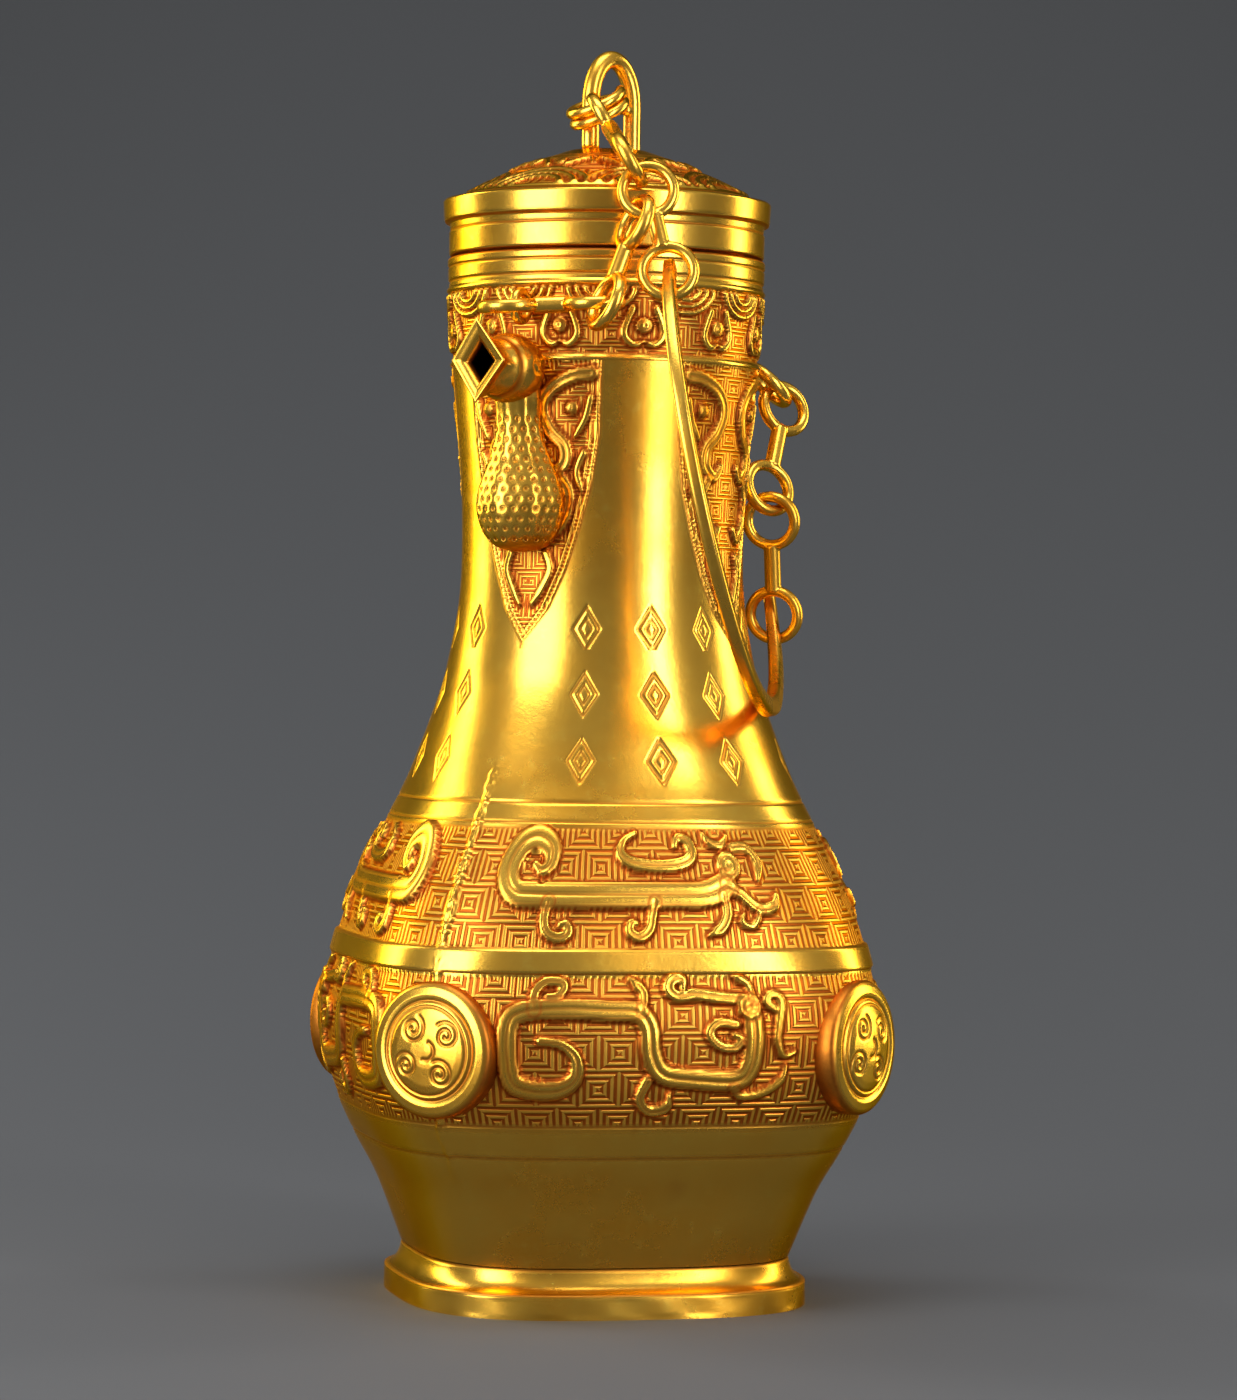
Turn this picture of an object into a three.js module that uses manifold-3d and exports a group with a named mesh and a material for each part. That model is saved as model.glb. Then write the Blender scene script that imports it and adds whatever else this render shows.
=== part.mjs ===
// Gilt bronze chain bottle: a round neck on a rounded square belly, a lid with a loop,
// two bird-head spouts, and a bow handle hung between two short chains.
// Millimetres, +Z up. The origin is the middle of the foot, on the table. The belly's
// corners point along X and Y, and the front spout stands on the -Y corner.
import * as THREE from 'three';
import { mergeVertices } from 'three/addons/utils/BufferGeometryUtils.js';
import Module from 'manifold-3d';

const wasm = await Module();
wasm.setup();

// Gap between pieces that touch
const SEAT = 0.3;

// Foot and belly: half-widths are those seen VIEW_TURN degrees off a face
const FOOT_HALF = 62.9;
const FOOT_BAND = 7;
const FOOT_HEIGHT = 14;
const FOOT_WALL = 5;
const FOOT_SQUARE = 3;
const WAIST_HALF = 57.9;
const BELLY_HALF = 83.6;
const BELLY_Z = 85;
const BELLY_SQUARE = 3.6;
const NECK_HALF = 42;
const NECK_Z = 224;
const MOUTH_HALF = 47.1;
const MOUTH_Z = 308;
const WALL = 3;
const ROUND_FROM = 200;
const BASE_PLATE = 3;
const VIEW_TURN = 14;
const AROUND = 48;

// Lid
const LID_HALF = MOUTH_HALF - 0.1;
const RIM_HALF = LID_HALF + 1.6;
const RIM_LOW = MOUTH_Z + 11;
const RIM_TOP = RIM_LOW + 6.5;
const CAP_Z = RIM_TOP + 15.5;
const CAP_HALF = 12;
const LID_WALL = 3;
const PLUG_DEPTH = 6;
const PLUG_GAP = 0.5;

// Loop on the lid
const LOOP_WIRE = 5.4;
const LOOP_HALF = 8.3;
const LOOP_TOP = CAP_Z + 30;
const LOOP_SIDE = 1;
const LOOP_TURN = 73;

// Bosses on the belly's corners
const BOSS_Z = 78;
const BOSS_RADIUS = 19.5;
const BOSS_PROUD = 3.2;
const BOSS_COUNT = 4;

// Spouts: a gourd on the neck, and a bird's head with an open beak above it
const GOURD_Z = 238;
const GOURD_RADIUS = 13;
const GOURD_LENGTH = 36;
const GOURD_OUT = 46;
const HEAD_Z = 273;
const HEAD_OUT = 55;
const HEAD_RADIUS = 10;
const HEAD_LENGTH = 26;
const BEAK_BORE = 4.5;

// Lug eyes on the spouts' heads
const LUG_Z = 291;
const LUG_REACH = 4.2;
const LUG_WIRE = 2.6;
const LUG_TURN = 3;

// Links and bow
const LINK = 43.2;
const RING = 18;
const LINK_WIRE = 3;
const LINK_DEEP = 3.6;
const LINK_ROUND = 0.9;
const LINK_WAIST = 4.8;
const LOW_LINK = 47;
const LID_LINK = 58;
const COIL_RADIUS = 8;
const COIL_WIRE = 3.2;
const COIL_TURNS = 2;
const BOW_RADIUS = 67.6;
const BOW_WIDTH = 5.6;
const BOW_THICK = 4;
const BOW_ROUND = 0.6;
const BOW_FROM = -4;
const BOW_TO = 212;
const CHAIN_TURN = 31;

const radians = THREE.MathUtils.degToRad;
const bottle = new THREE.Group();

function addNode(name, geometry, parent = bottle, color = 0xd9a01e, roughness = 0.3) {
  const look = new THREE.MeshStandardMaterial({ color, roughness, metalness: 1 });
  const mesh = new THREE.Mesh(geometry, look);
  mesh.name = name;
  parent.add(mesh);
  return mesh;
}

// Height and half-width of the body, from the waist over the belly to the mouth
const outline = [
  [FOOT_HEIGHT, WAIST_HALF], [33, 65.6], [45, 72.3], [57, 78.2], [69, 82],
  [BELLY_Z, BELLY_HALF], [99, 80.9], [117, 75.5], [132, 68.7], [148, 60.3],
  [159, 55.4], [177, 48.8], [189, 45.6], [207, 42.6], [NECK_Z, NECK_HALF],
  [243, 42.6], [267, MOUTH_HALF - 2.5], [279, MOUTH_HALF - 1.3], [297, MOUTH_HALF - 0.3],
  [MOUTH_Z, MOUTH_HALF],
];
const outlineCurve = new THREE.SplineCurve(outline.map(([z, half]) => new THREE.Vector2(z, half)));

function bodyHalf(z) {
  let low = 0;
  let high = 1;
  for (let step = 0; step < 40; step += 1) {
    const middle = (low + high) / 2;
    if (outlineCurve.getPoint(middle).x < z) low = middle;
    else high = middle;
  }
  return outlineCurve.getPoint(low).y;
}

// How square the section is at a height: 2 is a circle
function squareness(z) {
  if (z <= BELLY_Z) return THREE.MathUtils.lerp(FOOT_SQUARE, BELLY_SQUARE, z / BELLY_Z);
  const up = THREE.MathUtils.smoothstep(z, BELLY_Z, ROUND_FROM);
  return THREE.MathUtils.lerp(BELLY_SQUARE, 2, up);
}

// Reach of a section in one direction, from the half-width seen VIEW_TURN off its face
function sectionReach(half, angle, square) {
  const dual = square / (square - 1);
  const turn = radians(VIEW_TURN);
  const across = (Math.cos(turn) ** dual + Math.sin(turn) ** dual) ** (1 / dual);
  const a = Math.abs(Math.cos(angle - Math.PI / 4)) ** square;
  const b = Math.abs(Math.sin(angle - Math.PI / 4)) ** square;
  return half / across / (a + b) ** (1 / square);
}

// Solid of revolution about Z from [half-width, height] pairs, listed upwards outside.
// With square, each height's circle becomes that height's rounded square.
function turned(pairs, square) {
  const shape = pairs.map(([half, z]) => new THREE.Vector2(half, z));
  const geometry = new THREE.LatheGeometry(shape, AROUND);
  geometry.rotateX(Math.PI / 2);
  const place = geometry.attributes.position;
  for (let i = 0; i < place.count; i += 1) {
    const half = Math.hypot(place.getX(i), place.getY(i));
    if (square && half > 0) {
      const angle = Math.atan2(place.getY(i), place.getX(i));
      const reach = sectionReach(half, angle, square(place.getZ(i)));
      place.setXY(i, reach * Math.cos(angle), reach * Math.sin(angle));
    }
  }
  return geometry;
}

// Closed solid of a geometry, for joining and cutting
function solid(geometry) {
  const bare = geometry.clone();
  bare.deleteAttribute('normal');
  bare.deleteAttribute('uv');
  const merged = mergeVertices(bare, 1e-4);
  const mesh = new wasm.Mesh({
    numProp: 3,
    vertProperties: new Float32Array(merged.attributes.position.array),
    triVerts: new Uint32Array(merged.index.array),
  });
  return new wasm.Manifold(mesh);
}

function surface(body) {
  const mesh = body.getMesh();
  const geometry = new THREE.BufferGeometry();
  const place = new THREE.BufferAttribute(new Float32Array(mesh.vertProperties), 3);
  geometry.setAttribute('position', place);
  geometry.setIndex(new THREE.BufferAttribute(new Uint32Array(mesh.triVerts), 1));
  geometry.computeVertexNormals();
  return geometry;
}

// Body shell: outer wall from the waist to the mouth, inner wall back down
function bodyWall(inset, steps, low) {
  const wall = [];
  for (let i = 0; i <= steps; i += 1) {
    const z = THREE.MathUtils.lerp(low, MOUTH_Z, i / steps);
    wall.push([bodyHalf(z) - inset, z]);
  }
  return wall;
}

function bodyShell() {
  const low = FOOT_HEIGHT + SEAT;
  const outer = bodyWall(0, 30, low);
  const inner = bodyWall(WALL, 14, low).reverse();
  return turned([...outer, ...inner, outer[0]], squareness);
}

// Base plate, let into the waist
function basePlate() {
  const low = FOOT_HEIGHT + SEAT;
  const high = low + BASE_PLATE;
  const half = bodyHalf(low) - WALL - SEAT;
  return turned([[0, low], [half, low], [half, high], [0, high]], () => squareness(low));
}

// Foot ring: upright band below, hollow curve up to the waist
function footRing() {
  const outer = [[FOOT_HALF, 0], [FOOT_HALF, FOOT_BAND]];
  const curveSteps = 4;
  for (let i = 1; i <= curveSteps; i += 1) {
    const turn = (i / curveSteps) * (Math.PI / 2);
    const half = FOOT_HALF - (FOOT_HALF - WAIST_HALF) * Math.sin(turn);
    const z = FOOT_HEIGHT - (FOOT_HEIGHT - FOOT_BAND) * Math.cos(turn);
    outer.push([half, z]);
  }
  const inner = [[WAIST_HALF - FOOT_WALL, FOOT_HEIGHT], [FOOT_HALF - FOOT_WALL, 0]];
  return turned([...outer, ...inner, outer[0]], squareness);
}

// Boss: a low dome that lies on one corner of the belly
function boss(angle) {
  const steps = 5;
  const dome = [];
  for (let i = 0; i <= steps; i += 1) {
    const turn = (i / steps) * (Math.PI / 2);
    const rise = BOSS_PROUD * (1 + Math.sin(turn));
    dome.push(new THREE.Vector2(BOSS_RADIUS * Math.cos(turn), rise));
  }
  dome[steps].x = 0;
  dome.unshift(new THREE.Vector2(0, -BOSS_RADIUS), new THREE.Vector2(BOSS_RADIUS, -BOSS_RADIUS));
  const geometry = new THREE.LatheGeometry(dome, 28);
  geometry.rotateZ(-Math.PI / 2);
  const reach = sectionReach(bodyHalf(BOSS_Z), 0, squareness(BOSS_Z));
  geometry.translate(reach - BOSS_PROUD, 0, BOSS_Z);
  geometry.rotateZ(angle);
  return surface(solid(geometry).subtract(bodyBlock()));
}

// The body's outer form grown by the seating gap, to trim what lies on it
function bodyBlock() {
  const outer = bodyWall(-SEAT, 30, FOOT_HEIGHT);
  return solid(turned([[0, FOOT_HEIGHT], ...outer, [0, MOUTH_Z]], squareness));
}

// Spout: gourd and head joined, trimmed to the neck, bored from the beak inwards
function spout(angle) {
  const gourd = new THREE.SphereGeometry(1, 24, 14);
  gourd.rotateX(Math.PI / 2);
  gourd.scale(GOURD_RADIUS, GOURD_RADIUS, GOURD_LENGTH / 2);
  gourd.translate(GOURD_OUT, 0, GOURD_Z);
  const head = new THREE.SphereGeometry(1, 24, 14);
  head.rotateX(Math.PI / 2);
  head.scale(HEAD_LENGTH / 2, HEAD_RADIUS, HEAD_RADIUS);
  head.translate(HEAD_OUT, 0, HEAD_Z);
  const throat = new THREE.CylinderGeometry(6, 8, HEAD_Z - GOURD_Z, 20);
  throat.rotateX(Math.PI / 2);
  throat.translate(GOURD_OUT + 5, 0, (HEAD_Z + GOURD_Z) / 2);
  const beak = new THREE.ConeGeometry(HEAD_RADIUS * 0.9, 14, 4);
  beak.rotateZ(Math.PI / 2);
  beak.translate(HEAD_OUT + HEAD_LENGTH / 2 - 3, 0, HEAD_Z);
  const bore = new THREE.CylinderGeometry(BEAK_BORE, BEAK_BORE, 20, 16);
  bore.rotateZ(Math.PI / 2);
  bore.translate(HEAD_OUT + HEAD_LENGTH / 2 + 4, 0, HEAD_Z);
  const whole = solid(gourd).add(solid(head)).add(solid(throat)).add(solid(beak));
  const turn = (angle * 180) / Math.PI;
  return surface(whole.subtract(solid(bore)).rotate([0, 0, turn]).subtract(bodyBlock()));
}

addNode('body_shell', bodyShell());
addNode('base_plate', basePlate());
addNode('foot_ring', footRing());
for (let i = 0; i < BOSS_COUNT; i += 1) {
  const angle = (i * 2 * Math.PI) / BOSS_COUNT - Math.PI / 2;
  addNode(`corner_boss_${i + 1}`, boss(angle));
}
addNode('front_spout', spout(-Math.PI / 2));
addNode('rear_spout', spout(Math.PI / 2));

// Lid: hollow dome with a stepped rim and a plug that drops into the mouth
function lidShell() {
  const low = MOUTH_Z + SEAT;
  const plugHalf = MOUTH_HALF - WALL - PLUG_GAP;
  const plugInside = plugHalf - LID_WALL;
  const shoulder = [RIM_HALF - 18.1, RIM_TOP + 8];
  return turned([
    [0, CAP_Z - LID_WALL], [CAP_HALF, CAP_Z - LID_WALL],
    [shoulder[0], shoulder[1] - LID_WALL], [plugInside, RIM_LOW],
    [plugInside, low - PLUG_DEPTH], [plugHalf, low - PLUG_DEPTH], [plugHalf, low],
    [LID_HALF, low], [LID_HALF, RIM_LOW - 1], [RIM_HALF, RIM_LOW], [RIM_HALF, RIM_TOP],
    [RIM_HALF - 6, RIM_TOP + 2], shoulder, [CAP_HALF + 7.2, CAP_Z - 2], [CAP_HALF, CAP_Z], [0, CAP_Z],
  ]);
}

addNode('lid_shell', lidShell());

// Round or flat bar along a path
function bar(path, width, depth, steps, sides) {
  const section = new THREE.Shape();
  section.absellipse(0, 0, width / 2, depth / 2, 0, 2 * Math.PI);
  return new THREE.ExtrudeGeometry(section, { steps, curveSegments: sides, extrudePath: path });
}

// Loop: an arch whose two legs stand on the cap
class Arch extends THREE.Curve {
  getPoint(t) {
    const low = CAP_Z + SEAT;
    const top = LOOP_TOP - LOOP_WIRE / 2;
    const middle = (low + top) / 2;
    const leg = 0.2;
    if (t < leg || t > 1 - leg) {
      const up = Math.min(t, 1 - t) / leg;
      const x = t < leg ? -LOOP_HALF : LOOP_HALF;
      return new THREE.Vector3(x, 0, THREE.MathUtils.lerp(low, middle, up));
    }
    const turn = (Math.PI * (t - leg)) / (1 - 2 * leg);
    const rise = (top - middle) * Math.sin(turn);
    return new THREE.Vector3(-LOOP_HALF * Math.cos(turn), 0, middle + rise);
  }
}

const loop = addNode('lid_loop', bar(new Arch(), LOOP_WIRE, LOOP_WIRE, 24, 6));
loop.position.x = LOOP_SIDE;
loop.rotation.z = radians(LOOP_TURN);

// A direction or point of the chain, as it is seen from CHAIN_TURN right of the front
// corner: side to the right, out towards the eye, and up
function seen(side, out, up) {
  const turn = radians(CHAIN_TURN);
  const x = side * Math.cos(turn) + out * Math.sin(turn);
  const y = side * Math.sin(turn) - out * Math.cos(turn);
  return new THREE.Vector3(x, y, up);
}

// Turns and moves a piece: its X runs along, its Z lies as near to face as it can
function settle(mesh, middle, along, face) {
  const x = along.clone().normalize();
  const z = face.clone().addScaledVector(x, -face.dot(x)).normalize();
  const y = new THREE.Vector3().crossVectors(z, x);
  mesh.quaternion.setFromRotationMatrix(new THREE.Matrix4().makeBasis(x, y, z));
  mesh.position.copy(middle);
}

// Lug eye: a small upright ring in the plane that holds the bottle's axis
function lugEye(angle) {
  const ring = new THREE.TorusGeometry(LUG_REACH, LUG_WIRE / 2, 10, 20);
  ring.rotateX(Math.PI / 2);
  const out = bodyHalf(LUG_Z) + SEAT + LUG_WIRE / 2 + LUG_REACH;
  ring.translate(out, 0, LUG_Z);
  ring.rotateZ(angle);
  return ring;
}

addNode('front_lug_eye', lugEye(-Math.PI / 2 + radians(LUG_TURN)));
addNode('rear_lug_eye', lugEye(Math.PI / 2 - radians(LUG_TURN)));

// Eight-shaped link: two flat rings and the bar between them, along X
function linkBody(total) {
  const reach = (total - RING) / 2;
  const outer = RING / 2;
  const open = Math.asin(LINK_WAIST / 2 / outer);
  const shape = new THREE.Shape();
  shape.absarc(reach, 0, outer, -Math.PI + open, Math.PI - open);
  shape.absarc(-reach, 0, outer, open, 2 * Math.PI - open);
  shape.closePath();
  for (const side of [-1, 1]) {
    const hole = new THREE.Path();
    hole.absarc(side * reach, 0, outer - LINK_WIRE, 0, 2 * Math.PI, true);
    shape.holes.push(hole);
  }
  const geometry = new THREE.ExtrudeGeometry(shape, {
    depth: LINK_DEEP - 2 * LINK_ROUND,
    curveSegments: 9,
    bevelThickness: LINK_ROUND,
    bevelSize: LINK_ROUND,
    bevelOffset: -LINK_ROUND,
    bevelSegments: 1,
  });
  geometry.translate(0, 0, -LINK_DEEP / 2 + LINK_ROUND);
  return geometry;
}

// Links: name, middle of the first ring, direction to the second ring, face, length
const links = [
  ['front_link_1', seen(-28.2, 53, 290.4), seen(0.99, 0.14, 0.04), seen(-0.05, 0.06, 1), LINK],
  ['front_link_2', seen(8.1, 58.6, 314.3), seen(-0.32, 0.22, -0.92), seen(-0.85, 0.36, 0.38), LINK],
  ['front_link_3', seen(11.6, 56.3, 323.9), seen(0.24, 0.23, -0.94), seen(-0.02, 0.97, 0.23), LINK],
  ['rear_link_1', seen(33.4, -46.9, 286.2), seen(0.66, 0.56, -0.49), seen(0.67, -0.16, 0.72), LINK],
  ['rear_link_2', seen(54.7, -29.7, 266.6), seen(-0.17, 0.48, -0.86), seen(0.54, 0.78, 0.32), LOW_LINK],
  ['rear_link_3', seen(50.8, -15.1, 231.8), seen(0.05, -0.18, -0.98), seen(-0.3, 0.93, -0.19), LOW_LINK],
  ['lid_link', seen(-1.1, 17.6, 348.5), seen(0.18, 0.9, -0.39), seen(0.86, 0.05, 0.52), LID_LINK],
];
for (const [name, first, along, face, total] of links) {
  const middle = first.clone().addScaledVector(along.clone().normalize(), (total - RING) / 2);
  settle(addNode(name, linkBody(total)), middle, along, face);
}

// Split ring: two close turns of flat wire
class Coil extends THREE.Curve {
  getPoint(t) {
    const turn = 2 * Math.PI * COIL_TURNS * t;
    const rise = (t - 0.5) * COIL_TURNS * (COIL_WIRE + SEAT);
    return new THREE.Vector3(COIL_RADIUS * Math.cos(turn), COIL_RADIUS * Math.sin(turn), rise);
  }
}

const coil = addNode('lid_split_ring', bar(new Coil(), COIL_WIRE, COIL_WIRE, 36, 4));
settle(coil, seen(-3, 7.8, 352.5), seen(0.94, 0.12, 0.31), seen(-0.33, 0.45, 0.83));

// Bow: a flat bar bent to an arc
function bow() {
  const outer = BOW_RADIUS + BOW_WIDTH / 2;
  const inner = BOW_RADIUS - BOW_WIDTH / 2;
  const start = radians(BOW_FROM);
  const end = radians(BOW_TO);
  const shape = new THREE.Shape();
  shape.absarc(0, 0, outer, start, end);
  shape.absarc(0, 0, inner, end, start, true);
  shape.closePath();
  const geometry = new THREE.ExtrudeGeometry(shape, {
    depth: BOW_THICK - 2 * BOW_ROUND,
    curveSegments: 24,
    bevelThickness: BOW_ROUND,
    bevelSize: BOW_ROUND,
    bevelOffset: -BOW_ROUND,
    bevelSegments: 1,
  });
  geometry.translate(0, 0, -BOW_THICK / 2 + BOW_ROUND);
  return geometry;
}

settle(
  addNode('bow_handle', bow()),
  seen(35.2, 31.6, 242.1), seen(-0.254, 0.449, 0.857), seen(0.965, 0.145, 0.21),
);

export default bottle;
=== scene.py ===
import math

import bpy
import numpy as np
from mathutils import Matrix, Vector


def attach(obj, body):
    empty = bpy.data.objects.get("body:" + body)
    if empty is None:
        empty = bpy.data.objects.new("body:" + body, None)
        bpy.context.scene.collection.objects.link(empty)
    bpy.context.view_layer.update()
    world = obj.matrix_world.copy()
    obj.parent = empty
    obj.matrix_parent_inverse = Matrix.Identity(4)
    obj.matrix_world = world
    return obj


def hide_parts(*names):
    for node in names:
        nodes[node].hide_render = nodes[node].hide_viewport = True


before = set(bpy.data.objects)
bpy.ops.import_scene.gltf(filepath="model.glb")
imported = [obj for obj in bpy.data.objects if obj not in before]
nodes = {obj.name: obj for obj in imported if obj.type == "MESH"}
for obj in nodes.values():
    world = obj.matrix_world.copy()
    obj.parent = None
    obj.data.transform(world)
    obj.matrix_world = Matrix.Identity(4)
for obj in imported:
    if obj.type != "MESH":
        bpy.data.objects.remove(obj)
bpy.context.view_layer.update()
scene = bpy.context.scene
scene.view_settings.view_transform = "Standard"
MM = 0.001


# Camera and studio: a long lens level with the neck's foot, a dark grey paper sweep, a dim
# room and softboxes that draw upright bright bands down the polished gilding.
CAMERA_TURN = 31
CAMERA_FAR = 1.4
CAMERA_HIGH = 0.189
CAMERA_LENS = 120.4
CAMERA_ROLL = -0.8
FRAME_LEFT = 0.0125
FRAME_UP = -0.0286
PAPER_GREY = (0.07, 0.075, 0.083, 1)
PAPER_FRONT = 1.6
PAPER_BACK = 0.35
PAPER_BEND = 1.5
PAPER_HIGH = 3
PAPER_HALF = 4
ROOM_LOW = (0.16, 0.15, 0.14, 1)
ROOM_HIGH = (0.36, 0.36, 0.36, 1)
LIGHT_AIM = 0.18


def around(turn, far, high):
    angle = math.radians(turn)
    return Vector((far * math.sin(angle), -far * math.cos(angle), high))


lens = bpy.data.cameras.new("view")
lens.lens = CAMERA_LENS
lens.sensor_width = 36
lens.shift_x = FRAME_LEFT
lens.shift_y = FRAME_UP
camera = bpy.data.objects.new("view", lens)
camera.location = around(CAMERA_TURN, CAMERA_FAR, CAMERA_HIGH)
camera.rotation_euler = (math.pi / 2, math.radians(CAMERA_ROLL), math.radians(CAMERA_TURN))
scene.collection.objects.link(camera)
scene.camera = camera


def softbox(name, turn, far, high, size, power, colour=(1, 0.98, 0.95)):
    lamp = bpy.data.lights.new(name, "AREA")
    lamp.shape = "RECTANGLE"
    lamp.size, lamp.size_y = size
    lamp.energy = power
    lamp.color = colour
    holder = bpy.data.objects.new(name, lamp)
    holder.location = around(CAMERA_TURN + turn, far, high)
    aim = Vector((0, 0, LIGHT_AIM)) - holder.location
    holder.rotation_euler = aim.to_track_quat("-Z", "Y").to_euler()
    scene.collection.objects.link(holder)


softbox("left_box", -48, 1.3, 0.45, (0.7, 1.1), 17)
softbox("right_box", 44, 1.3, 0.4, (0.25, 1.2), 11)
softbox("side_box", 112, 1.3, 0.5, (0.3, 1.0), 8, (1, 0.93, 0.85))
softbox("top_box", 0, 0.3, 1.5, (0.9, 0.7), 11)
softbox("back_box", -118, 1.2, 0.6, (0.4, 1.0), 9)


def smoothstep(x):
    x = np.clip(x, 0, 1)
    return x * x * (3 - 2 * x)


class Wire:
    """A socket in a material, so that shader maths reads as an expression."""

    def __init__(self, bench, socket):
        self.bench = bench
        self.socket = socket

    def maths(self, operation, *others):
        values = dict(enumerate((self, *others)))
        return self.bench.node("ShaderNodeMath", {"operation": operation}, values)

    def __add__(self, other):
        return self.maths("ADD", other)

    def __radd__(self, other):
        return self.maths("ADD", other)

    def __sub__(self, other):
        return self.maths("SUBTRACT", other)

    def __rsub__(self, other):
        return self.bench.node("ShaderNodeMath", {"operation": "SUBTRACT"}, {0: other, 1: self})

    def __mul__(self, other):
        return self.maths("MULTIPLY", other)

    def __rmul__(self, other):
        return self.maths("MULTIPLY", other)

    def __truediv__(self, other):
        return self.maths("DIVIDE", other)

    def __gt__(self, other):
        return self.maths("GREATER_THAN", other)

    def __lt__(self, other):
        return self.maths("LESS_THAN", other)


class Bench:
    """One material and its nodes: node() makes a node, sets it, then feeds its inputs."""

    def __init__(self, name):
        self.material = bpy.data.materials.new(name)
        self.material.use_nodes = True
        self.tree = self.material.node_tree
        self.tree.nodes.clear()

    def node(self, kind, settings=None, inputs=None, out=0):
        made = self.tree.nodes.new(kind)
        for key, value in (settings or {}).items():
            if key == "stops":
                ramp = made.color_ramp
                while len(ramp.elements) < len(value):
                    ramp.elements.new(0.5)
                for element, (place, colour) in zip(ramp.elements, value):
                    element.position = place
                    element.color = colour
            else:
                setattr(made, key, value)
        for key, value in (inputs or {}).items():
            if isinstance(value, Wire):
                self.tree.links.new(value.socket, made.inputs[key])
            else:
                made.inputs[key].default_value = value
        return Wire(self, made.outputs[out]) if len(made.outputs) else None

    def blend(self, share, a, b):
        return self.node("ShaderNodeMix", {"data_type": "RGBA"}, {0: share, 6: a, 7: b}, 2)

    def noise(self, place, scale, detail=4, rough=0.55):
        values = {"Vector": place, "Scale": scale, "Detail": detail, "Roughness": rough}
        return self.node("ShaderNodeTexNoise", None, values)

    def ramp(self, value, low, high):
        settings = {"interpolation_type": "SMOOTHSTEP"}
        return self.node("ShaderNodeMapRange", settings, {0: value, 1: low, 2: high})

    def finish(self, shader):
        self.node("ShaderNodeOutputMaterial", None, {"Surface": shader})
        return self.material


def studio_room():
    world = bpy.data.worlds.new("room")
    scene.world = world
    world.use_nodes = True
    tree = world.node_tree
    tree.nodes.clear()
    place = tree.nodes.new("ShaderNodeTexCoord")
    split = tree.nodes.new("ShaderNodeSeparateXYZ")
    grade = tree.nodes.new("ShaderNodeValToRGB")
    grade.color_ramp.elements[0].position = 0
    grade.color_ramp.elements[0].color = ROOM_LOW
    grade.color_ramp.elements[1].position = 0.8
    grade.color_ramp.elements[1].color = ROOM_HIGH
    light = tree.nodes.new("ShaderNodeBackground")
    end = tree.nodes.new("ShaderNodeOutputWorld")
    tree.links.new(place.outputs["Generated"], split.inputs[0])
    tree.links.new(split.outputs["Z"], grade.inputs[0])
    tree.links.new(grade.outputs[0], light.inputs["Color"])
    tree.links.new(light.outputs[0], end.inputs["Surface"])


studio_room()


def paper_sweep():
    bench = Bench("paper")
    values = {"Base Color": PAPER_GREY, "Roughness": 0.75}
    material = bench.finish(bench.node("ShaderNodeBsdfPrincipled", None, values))
    bend = np.linspace(0, math.pi / 2, 24)
    far = np.concatenate([[-PAPER_FRONT], PAPER_BACK + PAPER_BEND * np.sin(bend), [PAPER_BACK + PAPER_BEND]])
    high = np.concatenate([[0], PAPER_BEND * (1 - np.cos(bend)), [PAPER_HIGH]])
    turn = math.radians(CAMERA_TURN)
    away = Vector((-math.sin(turn), math.cos(turn), 0))
    side = Vector((math.cos(turn), math.sin(turn), 0))
    points = [f * away + s * side + Vector((0, 0, h)) for f, h in zip(far, high) for s in (-PAPER_HALF, PAPER_HALF)]
    faces = [(2 * i, 2 * i + 1, 2 * i + 3, 2 * i + 2) for i in range(len(far) - 1)]
    mesh = bpy.data.meshes.new("paper")
    mesh.from_pydata(points, [], faces)
    mesh.polygons.foreach_set("use_smooth", [True] * len(mesh.polygons))
    mesh.materials.append(material)
    sweep = bpy.data.objects.new("paper", mesh)
    scene.collection.objects.link(sweep)


paper_sweep()


# Gilding: fire-gilt bronze. Bright yellow where it is rubbed, orange where it is thick, and
# red-brown in the sunk ground, which is filled with small square spirals.
GOLD = (0.92, 0.53, 0.07, 1)
GOLD_WARM = (0.84, 0.39, 0.03, 1)
GOLD_PALE = (0.95, 0.68, 0.12, 1)
# GROUND_RED and GROUND_DARK: the patina of the sunk ground, and also painted shade along relief edges, in grooves and
# in creases.
GROUND_RED = (0.48, 0.11, 0.012, 1)
GROUND_DARK = (0.14, 0.03, 0.008, 1)
# Painted shade: near black for the inside of the beak and for the mouth's lip under the lid.
CAVITY_SHADE = (0.012, 0.006, 0.003, 1)
EDGE_TINT = (0.95, 0.60, 0.14, 1)
SPIRAL_WIDE = 12
SPIRAL_HIGH = 10.4
SPIRAL_TURNS = 3
NECK_FINER = 1.45
POLISH = 0.2


def square_spirals(bench, chart):
    """1 on the ridges of a field of square spirals, 0 in their grooves."""
    parts = [bench.node("ShaderNodeSeparateXYZ", None, {0: chart}, axis) for axis in (0, 1)]
    row = (parts[1] / SPIRAL_HIGH).maths("FLOOR")
    shifted = parts[0] / SPIRAL_WIDE + row * 0.5
    turned = shifted.maths("FLOOR").maths("PINGPONG", 1) * 2 - 1
    across = (shifted.maths("FRACT") * 2 - 1) * turned
    up = (parts[1] / SPIRAL_HIGH).maths("FRACT") * 2 - 1
    wide, tall = across.maths("ABSOLUTE"), up.maths("ABSOLUTE")
    sideways = wide > tall
    sector = sideways * ((across < 0) * 2) + (1 - sideways) * ((up < 0) * 2 + 1)
    turn = wide.maths("MAXIMUM", tall) * SPIRAL_TURNS - sector / 4
    wave = (turn.maths("FRACT") * 2 - 1).maths("ABSOLUTE")
    return bench.ramp(wave, 0.25, 0.75)


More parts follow.
